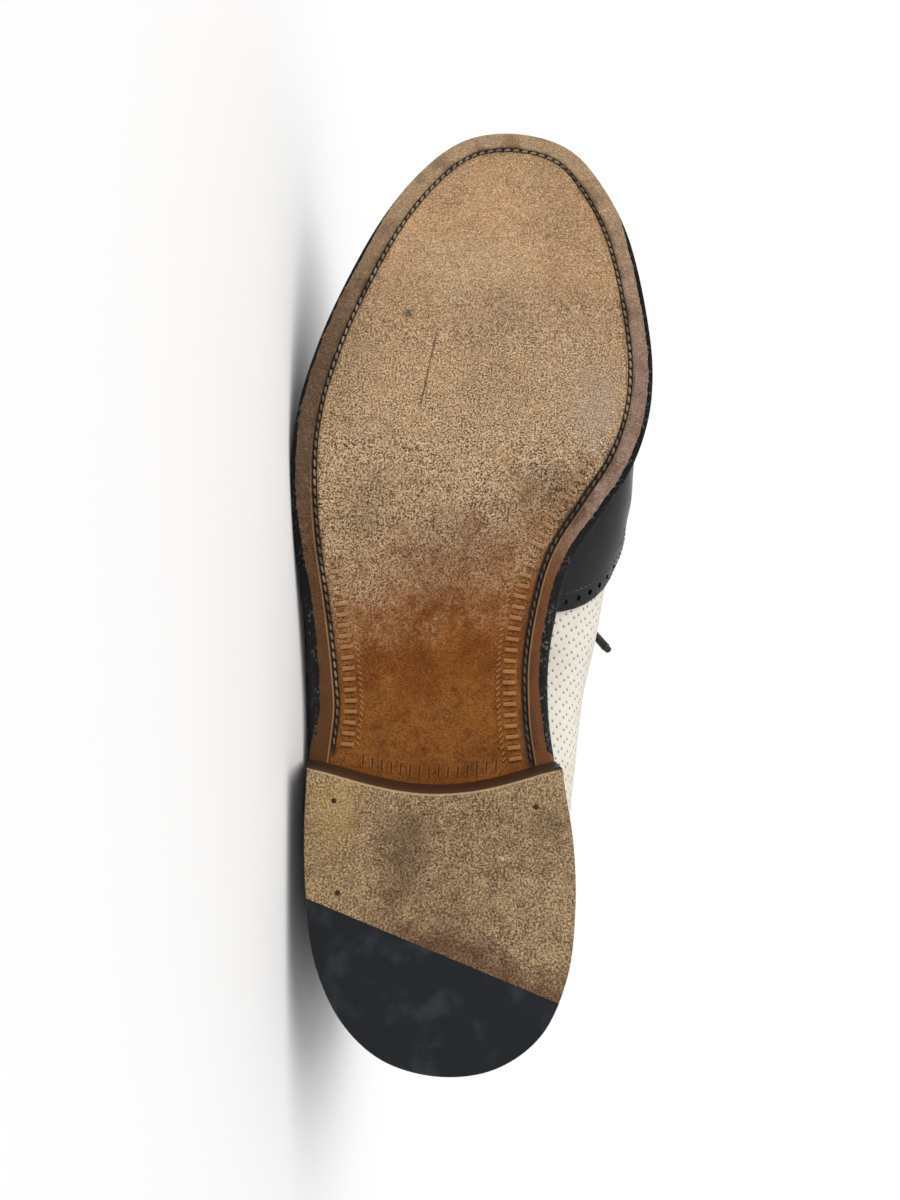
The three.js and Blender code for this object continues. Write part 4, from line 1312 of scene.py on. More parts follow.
# Where the heel leather is stained: place, reach, strength, colour.
HEEL_SPOTS = table(
    "at reach share colour",
    ((0.06, 0.0), (0.03, 0.036), 1.0, paint(98, 70, 44)),
    ((0.062, 0.02), (0.02, 0.026), 0.7, paint(116, 88, 56)),
    ((0.031, 0.009), (0.02, 0.026), 0.95, paint(90, 66, 44)),
    ((0.036, -0.006), (0.007, 0.026), 0.5, paint(122, 80, 52)),
    ((0.046, 0.028), (0.016, 0.018), 0.55, paint(158, 132, 104)),
    ((0.072, -0.037), (0.011, 0.009), 0.6, paint(182, 148, 88)),
    ((0.044, -0.038), (0.01, 0.009), 0.5, paint(176, 142, 82)),
    ((0.0679, -0.0097), (0.0009, 0.0009), 1.0, paint(30, 24, 20)),
    ((0.0695, 0.028), (0.0008, 0.0008), 1.0, paint(34, 28, 22)),
    ((0.0575, 0.0135), (0.0012, 0.0028), 0.8, paint(226, 214, 190)),
    ((0.0575, 0.0185), (0.0007, 0.0007), 1.0, paint(40, 32, 26)),
    ((0.0235, 0.0335), (0.0045, 0.0028), 1.0, paint(26, 22, 20)),
)

# Where dirt lies over its torn fibres too.
HEEL_SHADES = table(
    "at reach share colour",
    ((0.062, -0.0145), (0.012, 0.011), 0.5, paint(84, 58, 40)),
    ((0.051, -0.015), (0.012, 0.009), 0.45, paint(84, 58, 40)),
    ((0.067, 0.026), (0.009, 0.008), 0.35, paint(96, 78, 60)),
    ((0.04, 0.0), (0.014, 0.014), 0.25, paint(96, 68, 46)),
    ((0.066, -0.034), (0.016, 0.01), 0.3, paint(190, 154, 88)),
)


def scoured_heel_leather():
    material, tree, shader = new_material("scoured heel leather")
    where = shoe_place(tree)
    y, z = parted(where)[1:]
    hairs, pits, pebble, height = placed(TORN_FIBRES, where, Size=0.0011)
    broad = grains(where, 0.014, 3, 0.6)
    colour = mixed(ramped(broad, 0.34, 0.66), paint(136, 104, 68), paint(170, 140, 98))
    colour = stained(colour, HEEL_SPOTS, where)

    # Brown along the joint, fading towards the outer side.
    from_joint = vector_maths("DOT_PRODUCT", where, wedge_front, "Value") - wedge_front.dot(wedge_outer_end)
    burnt = ramped(from_joint + (broad - 0.5) * 0.02, 0.011, 0.0005, 0.0, 0.85) * ramped(y, -0.034, -0.004)
    colour = mixed(burnt, colour, paint(92, 58, 40))
    colour = mixed(pits * 0.8, colour, paint(70, 50, 32))
    colour = mixed(hairs * 0.66, colour, paint(214, 182, 138))
    # Painted shade in the hollows of the pebbled grain and painted highlights on its crests.
    colour = mixed(ramped(pebble, 0.5, 0.38) * 0.5, colour, paint(66, 40, 24))
    colour = mixed(ramped(pebble, 0.5, 0.62) * 0.36, colour, paint(244, 212, 170))
    colour = stained(colour, HEEL_SHADES, where)
    colour = mixed(burnt * 0.75, colour, paint(92, 56, 38))

    # Its side is stained dark, and the breast brown with a pale rim.
    breast = attribute(tree, "breast")
    side = mixed(breast, paint(30, 27, 25), paint(84, 56, 38))
    colour = mixed(ramped(z, 0.0003, 0.0012), colour, side)
    rim = ramped(z, 0.00003, 0.0001) * ramped(z, 0.0008, 0.0005) * breast * 0.75
    colour = mixed(rim, colour, paint(206, 180, 132))
    feed(shader, Base_Color=colour, Roughness=0.85, Normal=bumped(height, 0.00035, 0.8))
    feed(shader, Specular_IOR_Level=0.25)
    return material


def heel_rubber():
    material, tree, shader = new_material("black heel rubber")
    where = shoe_place(tree)
    smudge = ramped(grains(where, 0.012, 3, 0.55), 0.5, 0.72, 0.0, 0.5)
    dust = ramped(grains(where, 0.0009, 3, 0.7), 0.6, 0.74) * 0.4
    colour = mixed(smudge + dust, paint(6, 13, 19), paint(50, 56, 62))
    grain = bumped(grains(where, 0.0004, 2), 0.00004, 0.6)
    feed(shader, Base_Color=colour, Roughness=0.62, Specular_IOR_Level=0.3, Normal=grain)
    return material


HEEL_LEATHER = scoured_heel_leather()
HEEL_RUBBER = heel_rubber()
finish_piece(top_part("heel_top_leather", 1), HEEL_LEATHER, "heel_leather", "top_piece")
finish_piece(top_part("heel_rubber_corner", -1), HEEL_RUBBER, "heel_rubber", "rubber_wedge")

# The heel nails. Three nails of the top piece show. Their heads are taken as brass, worn dark and
# nearly flush.
NAIL_PLACES = [(0.0701, -0.0354), (0.0453, -0.0321), (0.0721, 0.0219)]
NAIL_RADIUS = 0.0008
NAIL_PROUD = 0.00008
NAIL_LENGTH = 0.0012


def nail_head():
    size = {"radius": NAIL_RADIUS, "depth": NAIL_LENGTH}
    bpy.ops.mesh.primitive_cylinder_add(vertices=20, location=(0, 0, 0), **size)
    made = bpy.context.object
    rounding = made.modifiers.new("rim", "BEVEL")
    rounding.width = 0.00015
    rounding.segments = 2
    bpy.ops.object.modifier_apply(modifier="rim")
    return model_mesh(made)


DARK_BRASS = plain_material("dark nail brass", Base_Color=paint(58, 44, 30), Roughness=0.5, Metallic=0.7)
nail_frames = [Matrix.Translation((x, y, NAIL_LENGTH / 2 - NAIL_PROUD)) for x, y in NAIL_PLACES]
nails = new_object("heel_nails", joined_copies(nail_head(), nail_frames))
smooth_by_angle(nails)
finish_piece(nails, DARK_BRASS, None)

# The insole. A firm leather board inside the shoe, seen through the collar, with a tan sock lining.
INSOLE_THICKNESS = 0.0032


def insole_grow(point):
    return feather_grow(point) - WALL - FIT_GAP


def mottled_leather(name, size, dark, light, roughness):
    material, tree, shader = new_material(name)
    colour = mixed(grains(shoe_place(tree), size, 3), dark, light)
    feed(shader, Base_Color=colour, Roughness=roughness)
    return material


SOCK_LEATHER = mottled_leather("tan sock leather", 0.012, paint(176, 132, 88), paint(206, 166, 120), 0.55)
insole_rings = [
    ring(insole_grow, over_sole(0)),
    ring(insole_grow, over_sole(INSOLE_THICKNESS - 0.0005)),
    ring(less(insole_grow, 0.0005), over_sole(INSOLE_THICKNESS)),
]
insole = new_object("sock_lined_insole", ring_mesh(insole_rings, 6))
smooth_by_angle(insole)
finish_piece(insole, SOCK_LEATHER, "insole_leather", "insole")

# The upper. Vamp and quarters of ivory calf, drawn over the last, punched in close rows, lined
# with tan leather; the shape below is that last, rib by rib.
INSTEP_HEIGHT = 0.105
BACK_HEIGHT = 0.061
OVERLAY = 0.0012
THROAT_WIDTH = 0.011
THROAT_END_WIDTH = 0.004
HEEL_CENTRE = 0.15
TOE_CENTRE = 0.81
THROAT_TOP = 0.375
THROAT_END = 0.625
TOPLINE_END = 0.02
LOWER_ROWS = 8
UPPER_ROWS = 30
TOP_ROW = LOWER_ROWS + UPPER_ROWS

SECTIONS = table(
    "along bulge_outer bulge_inner height round_outer round_inner",
    (0, 0.034, 0.034, 0.2, 1.95, 1.95),
    (0.07, 0.028, 0.036, 0.2, 1.75, 1.75),
    (0.15, 0.02, 0.045, 0.2, 1.56, 1.58),
    (0.22, 0.02, 0.072, 0.21, 1.55, 1.56),
    (0.3, 0.027, 0.129, 0.23, 1.6, 1.6),
    (0.37, 0.034, 0.166, 0.24, 1.66, 1.66),
    (0.42, 0.036, 0.183, 0.24, 1.7, 1.7),
    (0.47, 0.034, 0.177, 0.24, 1.74, 1.75),
    (0.52, 0.03, 0.147, 0.23, 1.78, 1.8),
    (0.56, 0.026, 0.1, 0.21, 1.82, 1.86),
    (0.6, 0.022, 0.058, 0.19, 1.87, 1.93),
    (0.65, 0.019, 0.028, 0.17, 1.9, 1.97),
    (0.75, 0.017, 0.02, 0.15, 2.1, 2.15),
    (0.9, 0.014, 0.015, 0.12, 2.3, 2.3),
    (1, 0.013, 0.013, 0.11, 2.35, 2.35),
)

RIDGE = table(
    "along height side",
    (0.15, 1.22, -0.03),
    (0.25, 1.155, -0.025),
    (0.33, 1.075, -0.02),
    (0.38, 1, -0.012),
    (0.44, 0.905, -0.005),
    (0.5, 0.81, 0),
    (0.56, 0.715, 0.005),
    (0.62, 0.63, 0.01),
    (0.68, 0.56, 0.012),
    (0.74, 0.505, 0.015),
    (0.81, 0.462, 0.018),
)

TOPLINE = table(
    "along rise",
    (-0.08, 1.02),
    (0, 1),
    (0.07, 0.96),
    (0.14, 0.88),
    (0.21, 0.83),
    (0.28, 0.88),
    (0.33, 1.03),
    (0.368, 1.2),
)


def ridge_side(along):
    return column_at(RIDGE, "side", along) * BALL_WIDTH


def last_rib(point):
    """One rib of the last, from its lower edge over the bulge to the ridge."""
    base = point.at + feather_grow(point) * point.normal
    base.z = feather_height(point.along)
    spine_along = min(max(point.along, HEEL_CENTRE), TOE_CENTRE)
    spine = Vector((spine_along * SOLE_LENGTH, ridge_side(spine_along), 0))
    spine_height = column_at(RIDGE, "height", spine_along) * INSTEP_HEIGHT
    away = Vector((base.x - spine.x, base.y - spine.y, 0))
    reach = away.length
    away.normalize()
    bulge = side_column(SECTIONS, "bulge", point)
    roundness = side_column(SECTIONS, "round", point) / BALL_WIDTH
    bulge_height = column_at(SECTIONS, "height", point.along) * BALL_WIDTH
    rows = []
    for j in range(LOWER_ROWS):
        u = j / LOWER_ROWS
        out = reach + bulge * math.sin(math.pi / 2 * u)
        rows.append(spine + away * out + Vector((0, 0, base.z + bulge_height * (0.45 * u + 0.55 * u * u))))
    start = base.z + bulge_height
    for j in range(UPPER_ROWS + 1):
        angle = math.pi / 2 * j / UPPER_ROWS
        out = 0 if j == UPPER_ROWS else math.cos(angle) ** (2 / roundness)
        up = math.sin(angle) ** (2 / roundness)
        place = spine + away * out * (reach + bulge)
        rows.append(place + Vector((0, 0, start + (spine_height - start) * up)))
    return rows


LAST = [last_rib(point) for point in AROUND]


def last_mesh():
    """The last's surface as an open sheet; girth is how far up from the lower edge a place lies."""
    bm = bmesh.new()
    girth = bm.verts.layers.float.new("girth")
    column = bm.verts.layers.float.new("row")
    grid = []
    for rows in LAST:
        made = []
        climbed = 0.0
        for j, at in enumerate(rows):
            vert = bm.verts.new(at)
            if j:
                climbed += (at - rows[j - 1]).length
            vert[girth] = climbed
            vert[column] = j
            made.append(vert)
        grid.append(made)
    for one, two in zip(grid, grid[1:] + grid[:1]):
        for j in range(TOP_ROW):
            bm.faces.new((one[j], two[j], two[j + 1], one[j + 1])).smooth = True
    tops = [made[TOP_ROW] for made in grid]
    bmesh.ops.remove_doubles(bm, verts=tops, dist=1e-6)
    bm.normal_update()
    return bm


# The creases that walking has left across the vamp: where each crosses the ridge, how it slants
# back towards the sides, its depth and width, and the height below which it fades.
CREASES = table(
    "along slant depth width low",
    (0.688, 0.24, 0.0004, 0.0042, 0.024),
    (0.66, 0.34, 0.00055, 0.0042, 0.022),
    (0.628, 0.42, 0.0004, 0.004, 0.026),
)


def crease(co):
    """How far the leather sinks at a place of the last."""
    total = 0.0
    for row in CREASES:
        line = row["along"] * SOLE_LENGTH - row["slant"] * abs(co.y)
        wave = 0.0016 * math.sin(co.y * 260 + 40 * row["along"])
        gap = (co.x - line - wave) / row["width"]
        banks = math.exp(-((gap - 2) ** 2)) + math.exp(-((gap + 2) ** 2))
        shape = math.exp(-gap * gap) - 0.45 * banks
        held = min(max((co.z - row["low"]) / 0.012, 0), 1)
        total += row["depth"] * shape * held
    return total


def last_at(distance):
    """The last's surface moved out by a distance, with the creases in it."""
    bm = last_mesh()
    column = bm.verts.layers.float["row"]
    for vert in bm.verts:
        normal = vert.normal.copy()
        if vert[column] == 0:
            normal.z = 0
            normal.normalize()
        vert.co += (distance - crease(vert.co)) * normal
    return bm


def outside(outline):
    """How far outside a closed outline of [a, b] a place lies; inside counts as negative."""
    corners = [(one, two) for one, two in zip(outline, outline[1:] + outline[:1]) if one != two]

    def measure(a, b):
        nearest = 1.0
        crossings = 0
        for (ax, ay), (bx, by) in corners:
            dx, dy = bx - ax, by - ay
            share = ((a - ax) * dx + (b - ay) * dy) / (dx * dx + dy * dy)
            share = min(max(share, 0), 1)
            gap = (a - ax - share * dx) ** 2 + (b - ay - share * dy) ** 2
            nearest = min(nearest, gap)
            if (ay > b) != (by > b) and a < ax + (b - ay) * dx / dy:
                crossings += 1
        return math.sqrt(nearest) * (-1 if crossings % 2 else 1)

    return measure


def smoothed(points, steps=6):
    """A smooth line of [a, b] through given points."""
    return [(at.x, at.y) for at in smooth_route([(a, b, 0) for a, b in points], steps)]


BEYOND = 0.3


def topline_outline(margin=0.0):
    seat = feather_height(0)
    line = [(row["along"] * SOLE_LENGTH, seat + row["rise"] * BACK_HEIGHT - margin) for row in TOPLINE]
    points = smoothed(line)
    points += [((THROAT_TOP + TOPLINE_END) * SOLE_LENGTH, BEYOND), (-0.06, BEYOND), (-0.06, points[0][1])]
    return points


def throat_outline():
    steps = 12
    outer, inner = [], []
    first = THROAT_TOP - 0.03
    for k in range(steps + 1):
        along = first + (THROAT_END - first) * k / steps
        width = THROAT_WIDTH + (THROAT_END_WIDTH - THROAT_WIDTH) * k / steps
        outer.append((along * SOLE_LENGTH, ridge_side(along) - width / 2))
        inner.insert(0, (along * SOLE_LENGTH, ridge_side(along) + width / 2))
    tip = []
    for k in range(1, 6):
        angle = math.pi * (k / 6 - 0.5)
        reach = THROAT_END_WIDTH / 2
        ahead = THROAT_END * SOLE_LENGTH + reach * math.cos(angle)
        tip.append((ahead, ridge_side(THROAT_END) + reach * math.sin(angle)))
    return outer + tip + inner


THROAT_FLOOR = 0.48 * INSTEP_HEIGHT
above_topline = outside(topline_outline())
in_throat = outside(throat_outline())


def clear_of_throat(co):
    return max(in_throat(co.x, co.y), THROAT_FLOOR - co.z)


def cut_along(bm, keeps):
    """Cuts an open sheet along the line where keeps(place) is nothing, and drops what lies below."""
    layers = list(bm.verts.layers.float.values())
    value = {vert: keeps(vert.co) for vert in bm.verts}
    touched = []
    snap = 0.1
    for edge in list(bm.edges):
        a, b = edge.verts
        fa, fb = value[a], value[b]
        if fa * fb >= 0:
            continue
        share = fa / (fa - fb)
        if min(share, 1 - share) < snap:
            near, far = (a, b) if share < snap else (b, a)
            near.co = near.co.lerp(far.co, min(share, 1 - share))
            value[near] = 0.0
            touched.append(near)
    for edge in list(bm.edges):
        a, b = edge.verts
        fa, fb = value[a], value[b]
        if fa * fb >= 0:
            continue
        share = fa / (fa - fb)
        place = a.co.lerp(b.co, share)
        between = [(layer, a[layer] + (b[layer] - a[layer]) * share) for layer in layers]
        made = bmesh.utils.edge_split(edge, a, share)[1]
        made.co = place
        for layer, amount in between:
            made[layer] = amount
        value[made] = 0.0
        touched.append(made)
    bmesh.ops.connect_verts(bm, verts=list(dict.fromkeys(touched)), check_degenerate=False)
    dropped = [face for face in bm.faces if sum(value[vert] for vert in face.verts) < 0]
    bmesh.ops.delete(bm, geom=dropped, context="FACES")
    loose = [vert for vert in bm.verts if not vert.link_faces]
    bmesh.ops.delete(bm, geom=loose, context="VERTS")
    return {vert for vert in touched if vert.is_valid}


def leather_sheet(name, outer_distance, keeps, thickness, materials, edge_round=0.0003):
    """A sheet of leather on the last: cut to shape, given its thickness and a softened edge. Its
    materials are the outer face's and, where there is a second, the inner face's and edges'."""
    bm = last_at(outer_distance)
    for keep in keeps:
        cut_along(bm, keep)
    mesh = mesh_from(bm)
    for material in materials:
        mesh.materials.append(material)
    made = new_object(name, mesh)
    wall = made.modifiers.new("wall", "SOLIDIFY")
    wall.thickness = thickness
    wall.offset = -1
    wall.use_even_offset = True
    wall.material_offset = len(materials) - 1
    wall.material_offset_rim = len(materials) - 1
    bpy.ops.object.modifier_apply(modifier="wall")
    if edge_round:
        rounding = made.modifiers.new("edge", "BEVEL")
        rounding.width = edge_round
        rounding.segments = 2
        rounding.limit_method = "ANGLE"
        rounding.angle_limit = math.radians(50)
        bpy.ops.object.modifier_apply(modifier="edge")
    smooth_by_angle(made, 40)
    return made


def lines_inside(keeps, distance, inset):
    """The lines on the leather that run at an inset inside a cut edge, as lists of places and
    outward normals, from one end to the other. A closed line begins at its foremost place."""
    bm = last_at(distance)
    cut = cut_along(bm, lambda co: keeps(co) - inset)
    bm.normal_update()
    links = {}
    for edge in bm.edges:
        a, b = edge.verts
        if edge.is_boundary and a in cut and b in cut:
            links.setdefault(a, []).append(b)
            links.setdefault(b, []).append(a)
    ends = [vert for vert, near in links.items() if len(near) == 1]
    lines = []
    seen = set()
    for start in ends + sorted(links, key=lambda vert: -vert.co.x):
        if start in seen:
            continue
        line = [start]
        seen.add(start)
        while True:
            after = [vert for vert in links[line[-1]] if vert not in seen]
            if not after:
                break
            line.append(after[0])
            seen.add(after[0])
        if len(line) > 2:
            lines.append([(vert.co.copy(), vert.normal.copy()) for vert in line])
    bm.free()
    return joined_lines(lines)


LINE_BREAK = 0.006


def joined_lines(lines):
    """Lines whose ends lie close together, made into one."""
    lines = sorted(lines, key=len)
    joined = []
    while lines:
        line = lines.pop()
        found = True
        while found:
            found = False
            for other in lines:
                for one, two in ((line, other), (line, other[::-1]), (other, line), (other[::-1], line)):
                    if (one[-1][0] - two[0][0]).length < LINE_BREAK:
                        line = one + two
                        found = True
                        break
                if found:
                    lines.remove(other)
                    break
        joined.append(line)
    return joined


def frames_along(lines, pitch, held=None):
    """Frames a pitch apart on such lines, X along the line and Z out of the leather, where held
    says that the place counts."""
    found = []
    for line in lines:
        travelled = pitch / 2
        for (one, normal), (two, next_normal) in zip(line, line[1:]):
            step = (two - one).length
            while step > 0 and travelled < step:
                share = travelled / step
                outwards = normal.lerp(next_normal, share).normalized()
                ahead = (two - one).normalized()
                ahead = (ahead - ahead.dot(outwards) * outwards).normalized()
                at = one.lerp(two, share)
                if held is None or held(at):
                    found.append(standing_frame(at, ahead, outwards))
                travelled += pitch
            travelled -= step
    return found


PUNCH_ROW = 0.0036
PUNCH_PAIR = 0.00395
PUNCH_GAP = 0.00145
PUNCH_RADIUS = 0.0004
PUNCH_SLANT = 1 / 6


def ivory_calf():
    """Smooth ivory calf, punched in slanting pairs of rows of pinholes."""
    material, tree, shader = new_material("punched ivory calf")
    where = shoe_place(tree)
    girth = attribute(tree, "girth")
    slanted = parted(where)[0] + girth * PUNCH_SLANT

    def nearest(value, period, start):
        moved = (value - start) / period
        return (moved - maths("ROUND", moved)) * period

    holes = []
    for start_along, start_up in ((0.0, 0.0), (PUNCH_GAP, PUNCH_ROW / 2)):
        across = nearest(slanted, PUNCH_PAIR, start_along)
        up = nearest(girth, PUNCH_ROW, start_up)
        holes.append(maths("SQRT", across * across + up * up))
    away = maths("MINIMUM", *holes)
    hole = ramped(away, 1.15 * PUNCH_RADIUS, 0.7 * PUNCH_RADIUS)
    dent = ramped(away, 2.2 * PUNCH_RADIUS, 0.5 * PUNCH_RADIUS)
    worn = ramped(grains(where, 0.014, 3), 0.4, 0.75)
    colour = mixed(worn, paint(234, 229, 216), paint(226, 217, 198))
    # The pinholes are not cut: each is painted as a dark grey spot, the shade inside a hole, over a bump
    # dent.
    colour = mixed(hole * 0.85, colour, paint(104, 94, 84))
    relief = bumped(grains(where, 0.0007, 3, 0.6) * 0.12 - dent, 0.00032, 0.7)
    feed(shader, Base_Color=colour, Roughness=0.5, Normal=relief, Specular_IOR_Level=0.4)
    return material


def black_calf():
    """Polished black calf: a fine pebbled grain with a few dull rubs."""
    material, tree, shader = new_material("black calf")
    where = shoe_place(tree)
    sockets = {"Vector": where, "Scale": 1 / 0.0009}
    cells = field(tree, "TexVoronoi", sockets, "Distance", feature="SMOOTH_F1")
    grain = bumped(cells + grains(where, 0.0004, 2) * 0.4, 0.00006, 0.5)
    rubs = ramped(grains(where, 0.006, 4, 0.65), 0.5, 0.74)
    colour = mixed(rubs * 0.35, paint(8, 8, 10), paint(32, 32, 34))
    roughness = ramped(rubs, 0.0, 1.0, 0.26, 0.46)
    feed(shader, Base_Color=colour, Roughness=roughness, Normal=grain, Specular_IOR_Level=0.45)
    return material


IVORY_CALF = ivory_calf()
LINING_LEATHER = mottled_leather("tan lining leather", 0.008, paint(168, 122, 80), paint(196, 152, 106), 0.6)
BLACK_CALF = black_calf()


def clear_of_topline(co):
    return above_topline(co.x, co.z)


upper_faces = [IVORY_CALF, LINING_LEATHER]
upper = leather_sheet("ivory_upper", 0, [clear_of_topline, clear_of_throat], WALL, upper_faces, edge_round=0)
finish_piece(upper, IVORY_CALF, "ivory_leather", "upper")

# The collar binding. A narrow strip of black calf folded over the top edge of the quarters.
BINDING_RADIUS = 0.0015
BINDING_SIDES = 14


def inside_collar(co):
    return min(clear_of_topline(co), clear_of_throat(co) + FIT_GAP)


for number, line in enumerate(lines_inside(inside_collar, -WALL / 2, 0)):
    route = resampled([at for at, normal in line], 2 * len(line))
    name = "collar_binding" if number == 0 else "collar_binding_" + str(number + 1)
    piece(name, tube_mesh(route, BINDING_RADIUS, BINDING_SIDES), BLACK_CALF, "black_leather")

# The punching tool, the same for every black edge: holes 2 mm wide in a single row, each a blind
# hole in the black leather, and two rows of fine stitches, one close to the edge and one inside.
OVER_TOP = FIT_GAP + OVERLAY
BROGUE_INSET = 0.0029
BROGUE_PITCH = 0.0053
BROGUE_RADIUS = 0.00098
BROGUE_DEPTH = 0.00085
EDGE_STITCH_INSET = 0.0011
INNER_STITCH_INSET = 0.0053
FINE_STITCH_PITCH = 0.0019
FINE_STITCH_LENGTH = 0.0015
FINE_STITCH_WIDTH = 0.00042
fine_stitch = stitch_model(FINE_STITCH_LENGTH, FINE_STITCH_WIDTH, sides=6, rings=5)
BLACK_THREAD = waxed_thread("black thread", paint(30, 30, 31), paint(16, 16, 17), 0.01)
GREY_THREAD = waxed_thread("grey thread", paint(128, 126, 122), paint(74, 72, 70), 0.01)


def punch_tool():
    size = {"radius": BROGUE_RADIUS, "depth": 2 * BROGUE_DEPTH}
    bpy.ops.mesh.primitive_cylinder_add(vertices=18, location=(0, 0, 0), **size)
    return model_mesh(bpy.context.object)


PUNCH_TOOL = punch_tool()


def punch(made, frames):
    """Punches a blind hole into a sheet at each frame."""
    tool = new_object("punches", joined_copies(PUNCH_TOOL, frames))
    tool.data.materials.append(BLACK_CALF)
    cutter = made.modifiers.new("punch", "BOOLEAN")
    cutter.operation = "DIFFERENCE"
    cutter.solver = "MANIFOLD"
    cutter.object = tool
    select_only(made)
    bpy.ops.object.modifier_apply(modifier="punch")
    bpy.data.objects.remove(tool)
    smooth_by_angle(made, 40)


def stitch_row(name, keeps, inset, thread, held=None):
    frames = frames_along(lines_inside(keeps, OVER_TOP - 0.00003, inset), FINE_STITCH_PITCH, held)
    piece(name, joined_copies(fine_stitch, frames), thread, "black_leather")


def trim_edge(made, keeps, held=None):
    """Holes and stitches along the cut edge of a black sheet, where held says so."""
    punch(made, frames_along(lines_inside(keeps, OVER_TOP, BROGUE_INSET), BROGUE_PITCH, held))
    stitch_row(made.name + "_edge_stitches", keeps, EDGE_STITCH_INSET, BLACK_THREAD, held)
    stitch_row(made.name + "_inner_stitches", keeps, INNER_STITCH_INSET, GREY_THREAD, held)


# The wing cap. Black calf over the toe: a point on the vamp's ridge, hollows beside it, and long
# wings that sweep down and back to the welt, punched along their edge and stitched down.
WING_PLAN = table(
    "along side",
    (0.672, 0),
    (0.7, 0.022),
    (0.735, 0.05),
    (0.76, 0.09),
    (0.768, 0.135),
    (0.762, 0.185),
    (0.745, 0.24),
    (0.722, 0.295),
    (0.7, 0.338),
    (0.684, 0.365),
)
WING_SIDE_LIMIT = {"along": 0.42, "side": 0.15}
WING_TAIL = table(
    "along rise",
    (0.436, -0.05),
    (0.443, 0),
    (0.455, 0.045),
    (0.47, 0.09),
    (0.485, 0.134),
    (0.5, 0.168),
    (0.52, 0.202),
    (0.55, 0.236),
    (0.59, 0.266),
    (0.64, 0.304),
    (0.684, 0.339),
    (0.7, 0.352),
    (0.716, 0.365),
)


def beside_ridge(table, side):
    """Places of a table on one side of the ridge, from above."""
    places = []
    for row in table:
        across = ridge_side(row["along"]) + side * row["side"] * BALL_WIDTH
        places.append((row["along"] * SOLE_LENGTH, across))
    return places


def wing_plan_outline():
    limit = WING_SIDE_LIMIT["along"] * SOLE_LENGTH
    beside = WING_SIDE_LIMIT["side"] * BALL_WIDTH
    wide = 0.62 * BALL_WIDTH
    front = 1.1 * SOLE_LENGTH
    line = smoothed(list(reversed(beside_ridge(WING_PLAN, 1)))) + smoothed(beside_ridge(WING_PLAN, -1))[1:]
    outer = [(limit, -beside), (limit, -wide), (front, -wide)]
    return line + outer + [(front, wide), (limit, wide), (limit, beside)]


def wing_side_outline():
    tail = []
    for row in WING_TAIL:
        tail.append((row["along"] * SOLE_LENGTH, feather_height(row["along"]) + row["rise"] * BALL_WIDTH))
    front = 1.1 * SOLE_LENGTH
    low = -HEEL_HEIGHT
    corners = [(tail[-1][0], BEYOND), (front, BEYOND), (front, low), (tail[0][0], low)]
    return smoothed(tail) + corners


off_wing_plan = outside(wing_plan_outline())
off_wing_side = outside(wing_side_outline())


def on_wing(co):
    return min(-off_wing_plan(co.x, co.y), -off_wing_side(co.x, co.z))


wing_cap = leather_sheet("wing_cap_leather", OVER_TOP, [on_wing], OVERLAY, [BLACK_CALF])
trim_edge(wing_cap, on_wing)
finish_piece(wing_cap, BLACK_CALF, "black_leather", "wing_cap")

# The counter. Black calf round the back of the heel, over the quarters.
COUNTER_EDGE = table(
    "along rise",
    (0.2, -0.2),
    (0.198, 0.15),
    (0.178, 0.4),
    (0.14, 0.62),
    (0.105, 0.8),
    (0.09, 1.4),
)


def counter_outline():
    low = feather_height(0.1)
    points = smoothed([(row["along"] * SOLE_LENGTH, low + row["rise"] * BACK_HEIGHT) for row in COUNTER_EDGE])
    return points + [(-0.06, points[-1][1]), (-0.06, points[0][1])]


off_counter = outside(counter_outline())
above_edge = outside(topline_outline(FIT_GAP))


def on_counter(co):
    return min(-off_counter(co.x, co.z), above_edge(co.x, co.z))


def counter_edge(co):
    return -off_counter(co.x, co.z)


heel_counter = leather_sheet("heel_counter_leather", OVER_TOP, [on_counter], OVERLAY, [BLACK_CALF])
trim_edge(heel_counter, counter_edge, lambda co: above_edge(co.x, co.z) > BROGUE_INSET)
finish_piece(heel_counter, BLACK_CALF, "black_leather", "heel_counter")

# The facings. Black calf bands beside the throat that carry the eyelets.
FACING = table(
    "along side",
    (0.34, 0.2),
    (0.4, 0.195),
    (0.48, 0.18),
    (0.56, 0.155),
    (0.61, 0.12),
    (0.64, 0.075),
    (0.652, 0.03),
)
FACING_TIP = 0.656
FACING_BAND = 0.0045


def facing(name, side):
    line = smoothed(beside_ridge(FACING, side))
    tip = (FACING_TIP * SOLE_LENGTH, ridge_side(FACING_TIP) + side * FIT_GAP)
    start = (FACING[0]["along"] * SOLE_LENGTH, ridge_side(FACING[0]["along"]) + side * FIT_GAP)
    off_facing = outside(line + [tip, start])

    def on_facing(co):
        here = min(-off_facing(co.x, co.y), co.z - THROAT_FLOOR)
        return min(here, above_edge(co.x, co.z))

    made = leather_sheet(name, OVER_TOP, [on_facing, clear_of_throat], OVERLAY, [BLACK_CALF])
    trim_edge(made, on_facing, lambda co: clear_of_throat(co) > FACING_BAND)
    return made


for side_name, side in (("inner", 1), ("outer", -1)):
    made = facing("eyelet_facing_" + side_name, side)
    finish_piece(made, BLACK_CALF, "black_leather", "facing_" + side_name)

# The tongue. Black calf under the facings, standing a little past the collar.
TONGUE_THICKNESS = 0.0022
TONGUE = table(
    "along side",
    (0.315, 0.13),
    (0.322, 0.175),
    (0.345, 0.195),
    (0.42, 0.18),
    (0.52, 0.15),
    (0.6, 0.11),
    (0.65, 0.07),
)
off_tongue = outside(smoothed(beside_ridge(TONGUE, -1)) + smoothed(list(reversed(beside_ridge(TONGUE, 1)))))


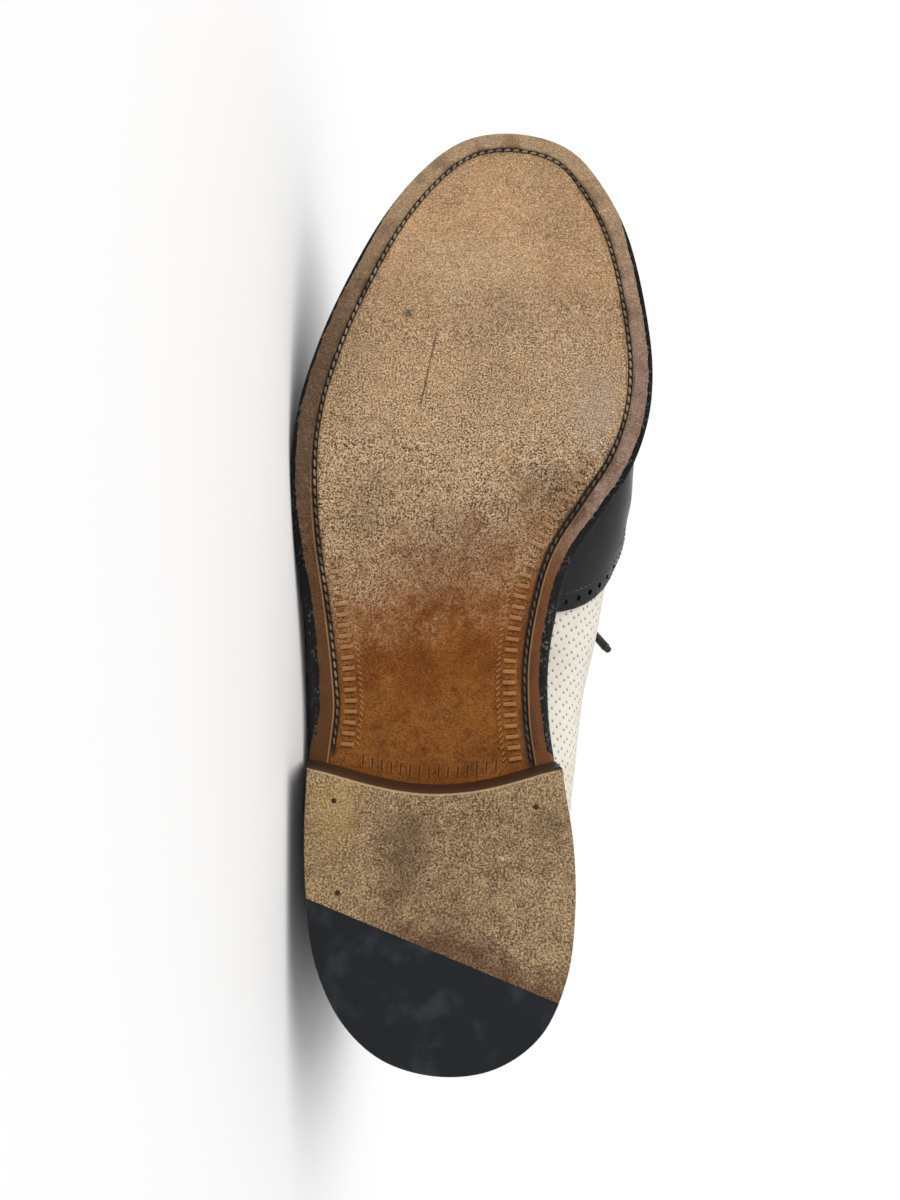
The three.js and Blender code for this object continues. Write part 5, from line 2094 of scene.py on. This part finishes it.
def on_tongue(co):
    return min(-off_tongue(co.x, co.y), co.z - THROAT_FLOOR)


tongue_faces = [BLACK_CALF, LINING_LEATHER]
tongue = leather_sheet("tongue_leather", -WALL - FIT_GAP, [on_tongue], TONGUE_THICKNESS, tongue_faces)
finish_piece(tongue, BLACK_CALF, "black_leather", "tongue")

# The lacing. Five straight crossings of the black cotton lace over the facings, from eyelet to
# eyelet.
LACE_BARS = 5
BAR_REACH = 0.083
FACING_END_MARGIN = 0.05
BAR_START = 0.02
lace_bed_mesh = mesh_from(last_at(OVER_TOP + FIT_GAP + LACE_DIAMETER / 2))
bed = bpy.data.objects.new("lace_bed", lace_bed_mesh)
bpy.context.scene.collection.objects.link(bed)
bpy.context.view_layer.update()


def over_bed(x, y):
    """The place over the facings at a plan place, and the normal there."""
    return bed.ray_cast(Vector((x, y, BEYOND)), DOWN)[1:3]


EYELET_REACH = 0.0965
EYELET_RADIUS = 0.0019
EYELET_WIRE = 0.00042
LACE_DIVE = 0.0021
eyelet_frames = []
for number in range(LACE_BARS):
    back = number / (LACE_BARS - 1)
    along = THROAT_TOP + BAR_START + (THROAT_END - THROAT_TOP - FACING_END_MARGIN) * back
    points = []
    for share in (-1, -0.62, -0.25, 0.25, 0.62, 1):
        points.append(over_bed(along * SOLE_LENGTH, ridge_side(along) + share * BAR_REACH * BALL_WIDTH)[0])
    for side, end in ((-1, 0), (1, len(points))):
        at, normal = over_bed(along * SOLE_LENGTH, ridge_side(along) + side * EYELET_REACH * BALL_WIDTH)
        points.insert(end + (end > 0), at - LACE_DIVE * normal)
        ring_at = at - (LACE_DIAMETER / 2 + FIT_GAP) * normal
        eyelet_frames.append(standing_frame(ring_at, Vector((1, 0, 0)), normal))
    crossing = tube_mesh(smooth_route(points, 5), LACE_DIAMETER / 2, LACE_SIDES)
    which = str(number + 1)
    piece("lace_crossing_" + which, crossing, LACE_COTTON, "lace_cotton", "lace_bar_" + which)

# The root of the free lace end, where it comes up through the top inner eyelet.
root_top = Vector(LACE_END_ROUTE[0])
root_at, root_normal = over_bed(root_top.x, root_top.y)
root_low = root_at - 2 * LACE_DIVE * root_normal - Vector((0, LACE_DIVE / 2, 0))
root_way = smooth_route([root_low, (root_low + root_top) / 2, root_top], 4)
root_tube = tube_mesh(root_way, LACE_DIAMETER / 2 - 0.0001, LACE_SIDES)
piece("lace_root", root_tube, LACE_COTTON, "lace_cotton")
bpy.data.objects.remove(bed)
bpy.data.meshes.remove(lace_bed_mesh)

# The eyelets. Small black-lacquered metal rings, one at each end of each crossing.
rings = {"major_radius": EYELET_RADIUS, "minor_radius": EYELET_WIRE, "major_segments": 28}
bpy.ops.mesh.primitive_torus_add(minor_segments=10, location=(0, 0, 0), **rings)
eyelet = model_mesh(bpy.context.object)
piece("eyelets", joined_copies(eyelet, eyelet_frames), BLACK_LACQUER, None)
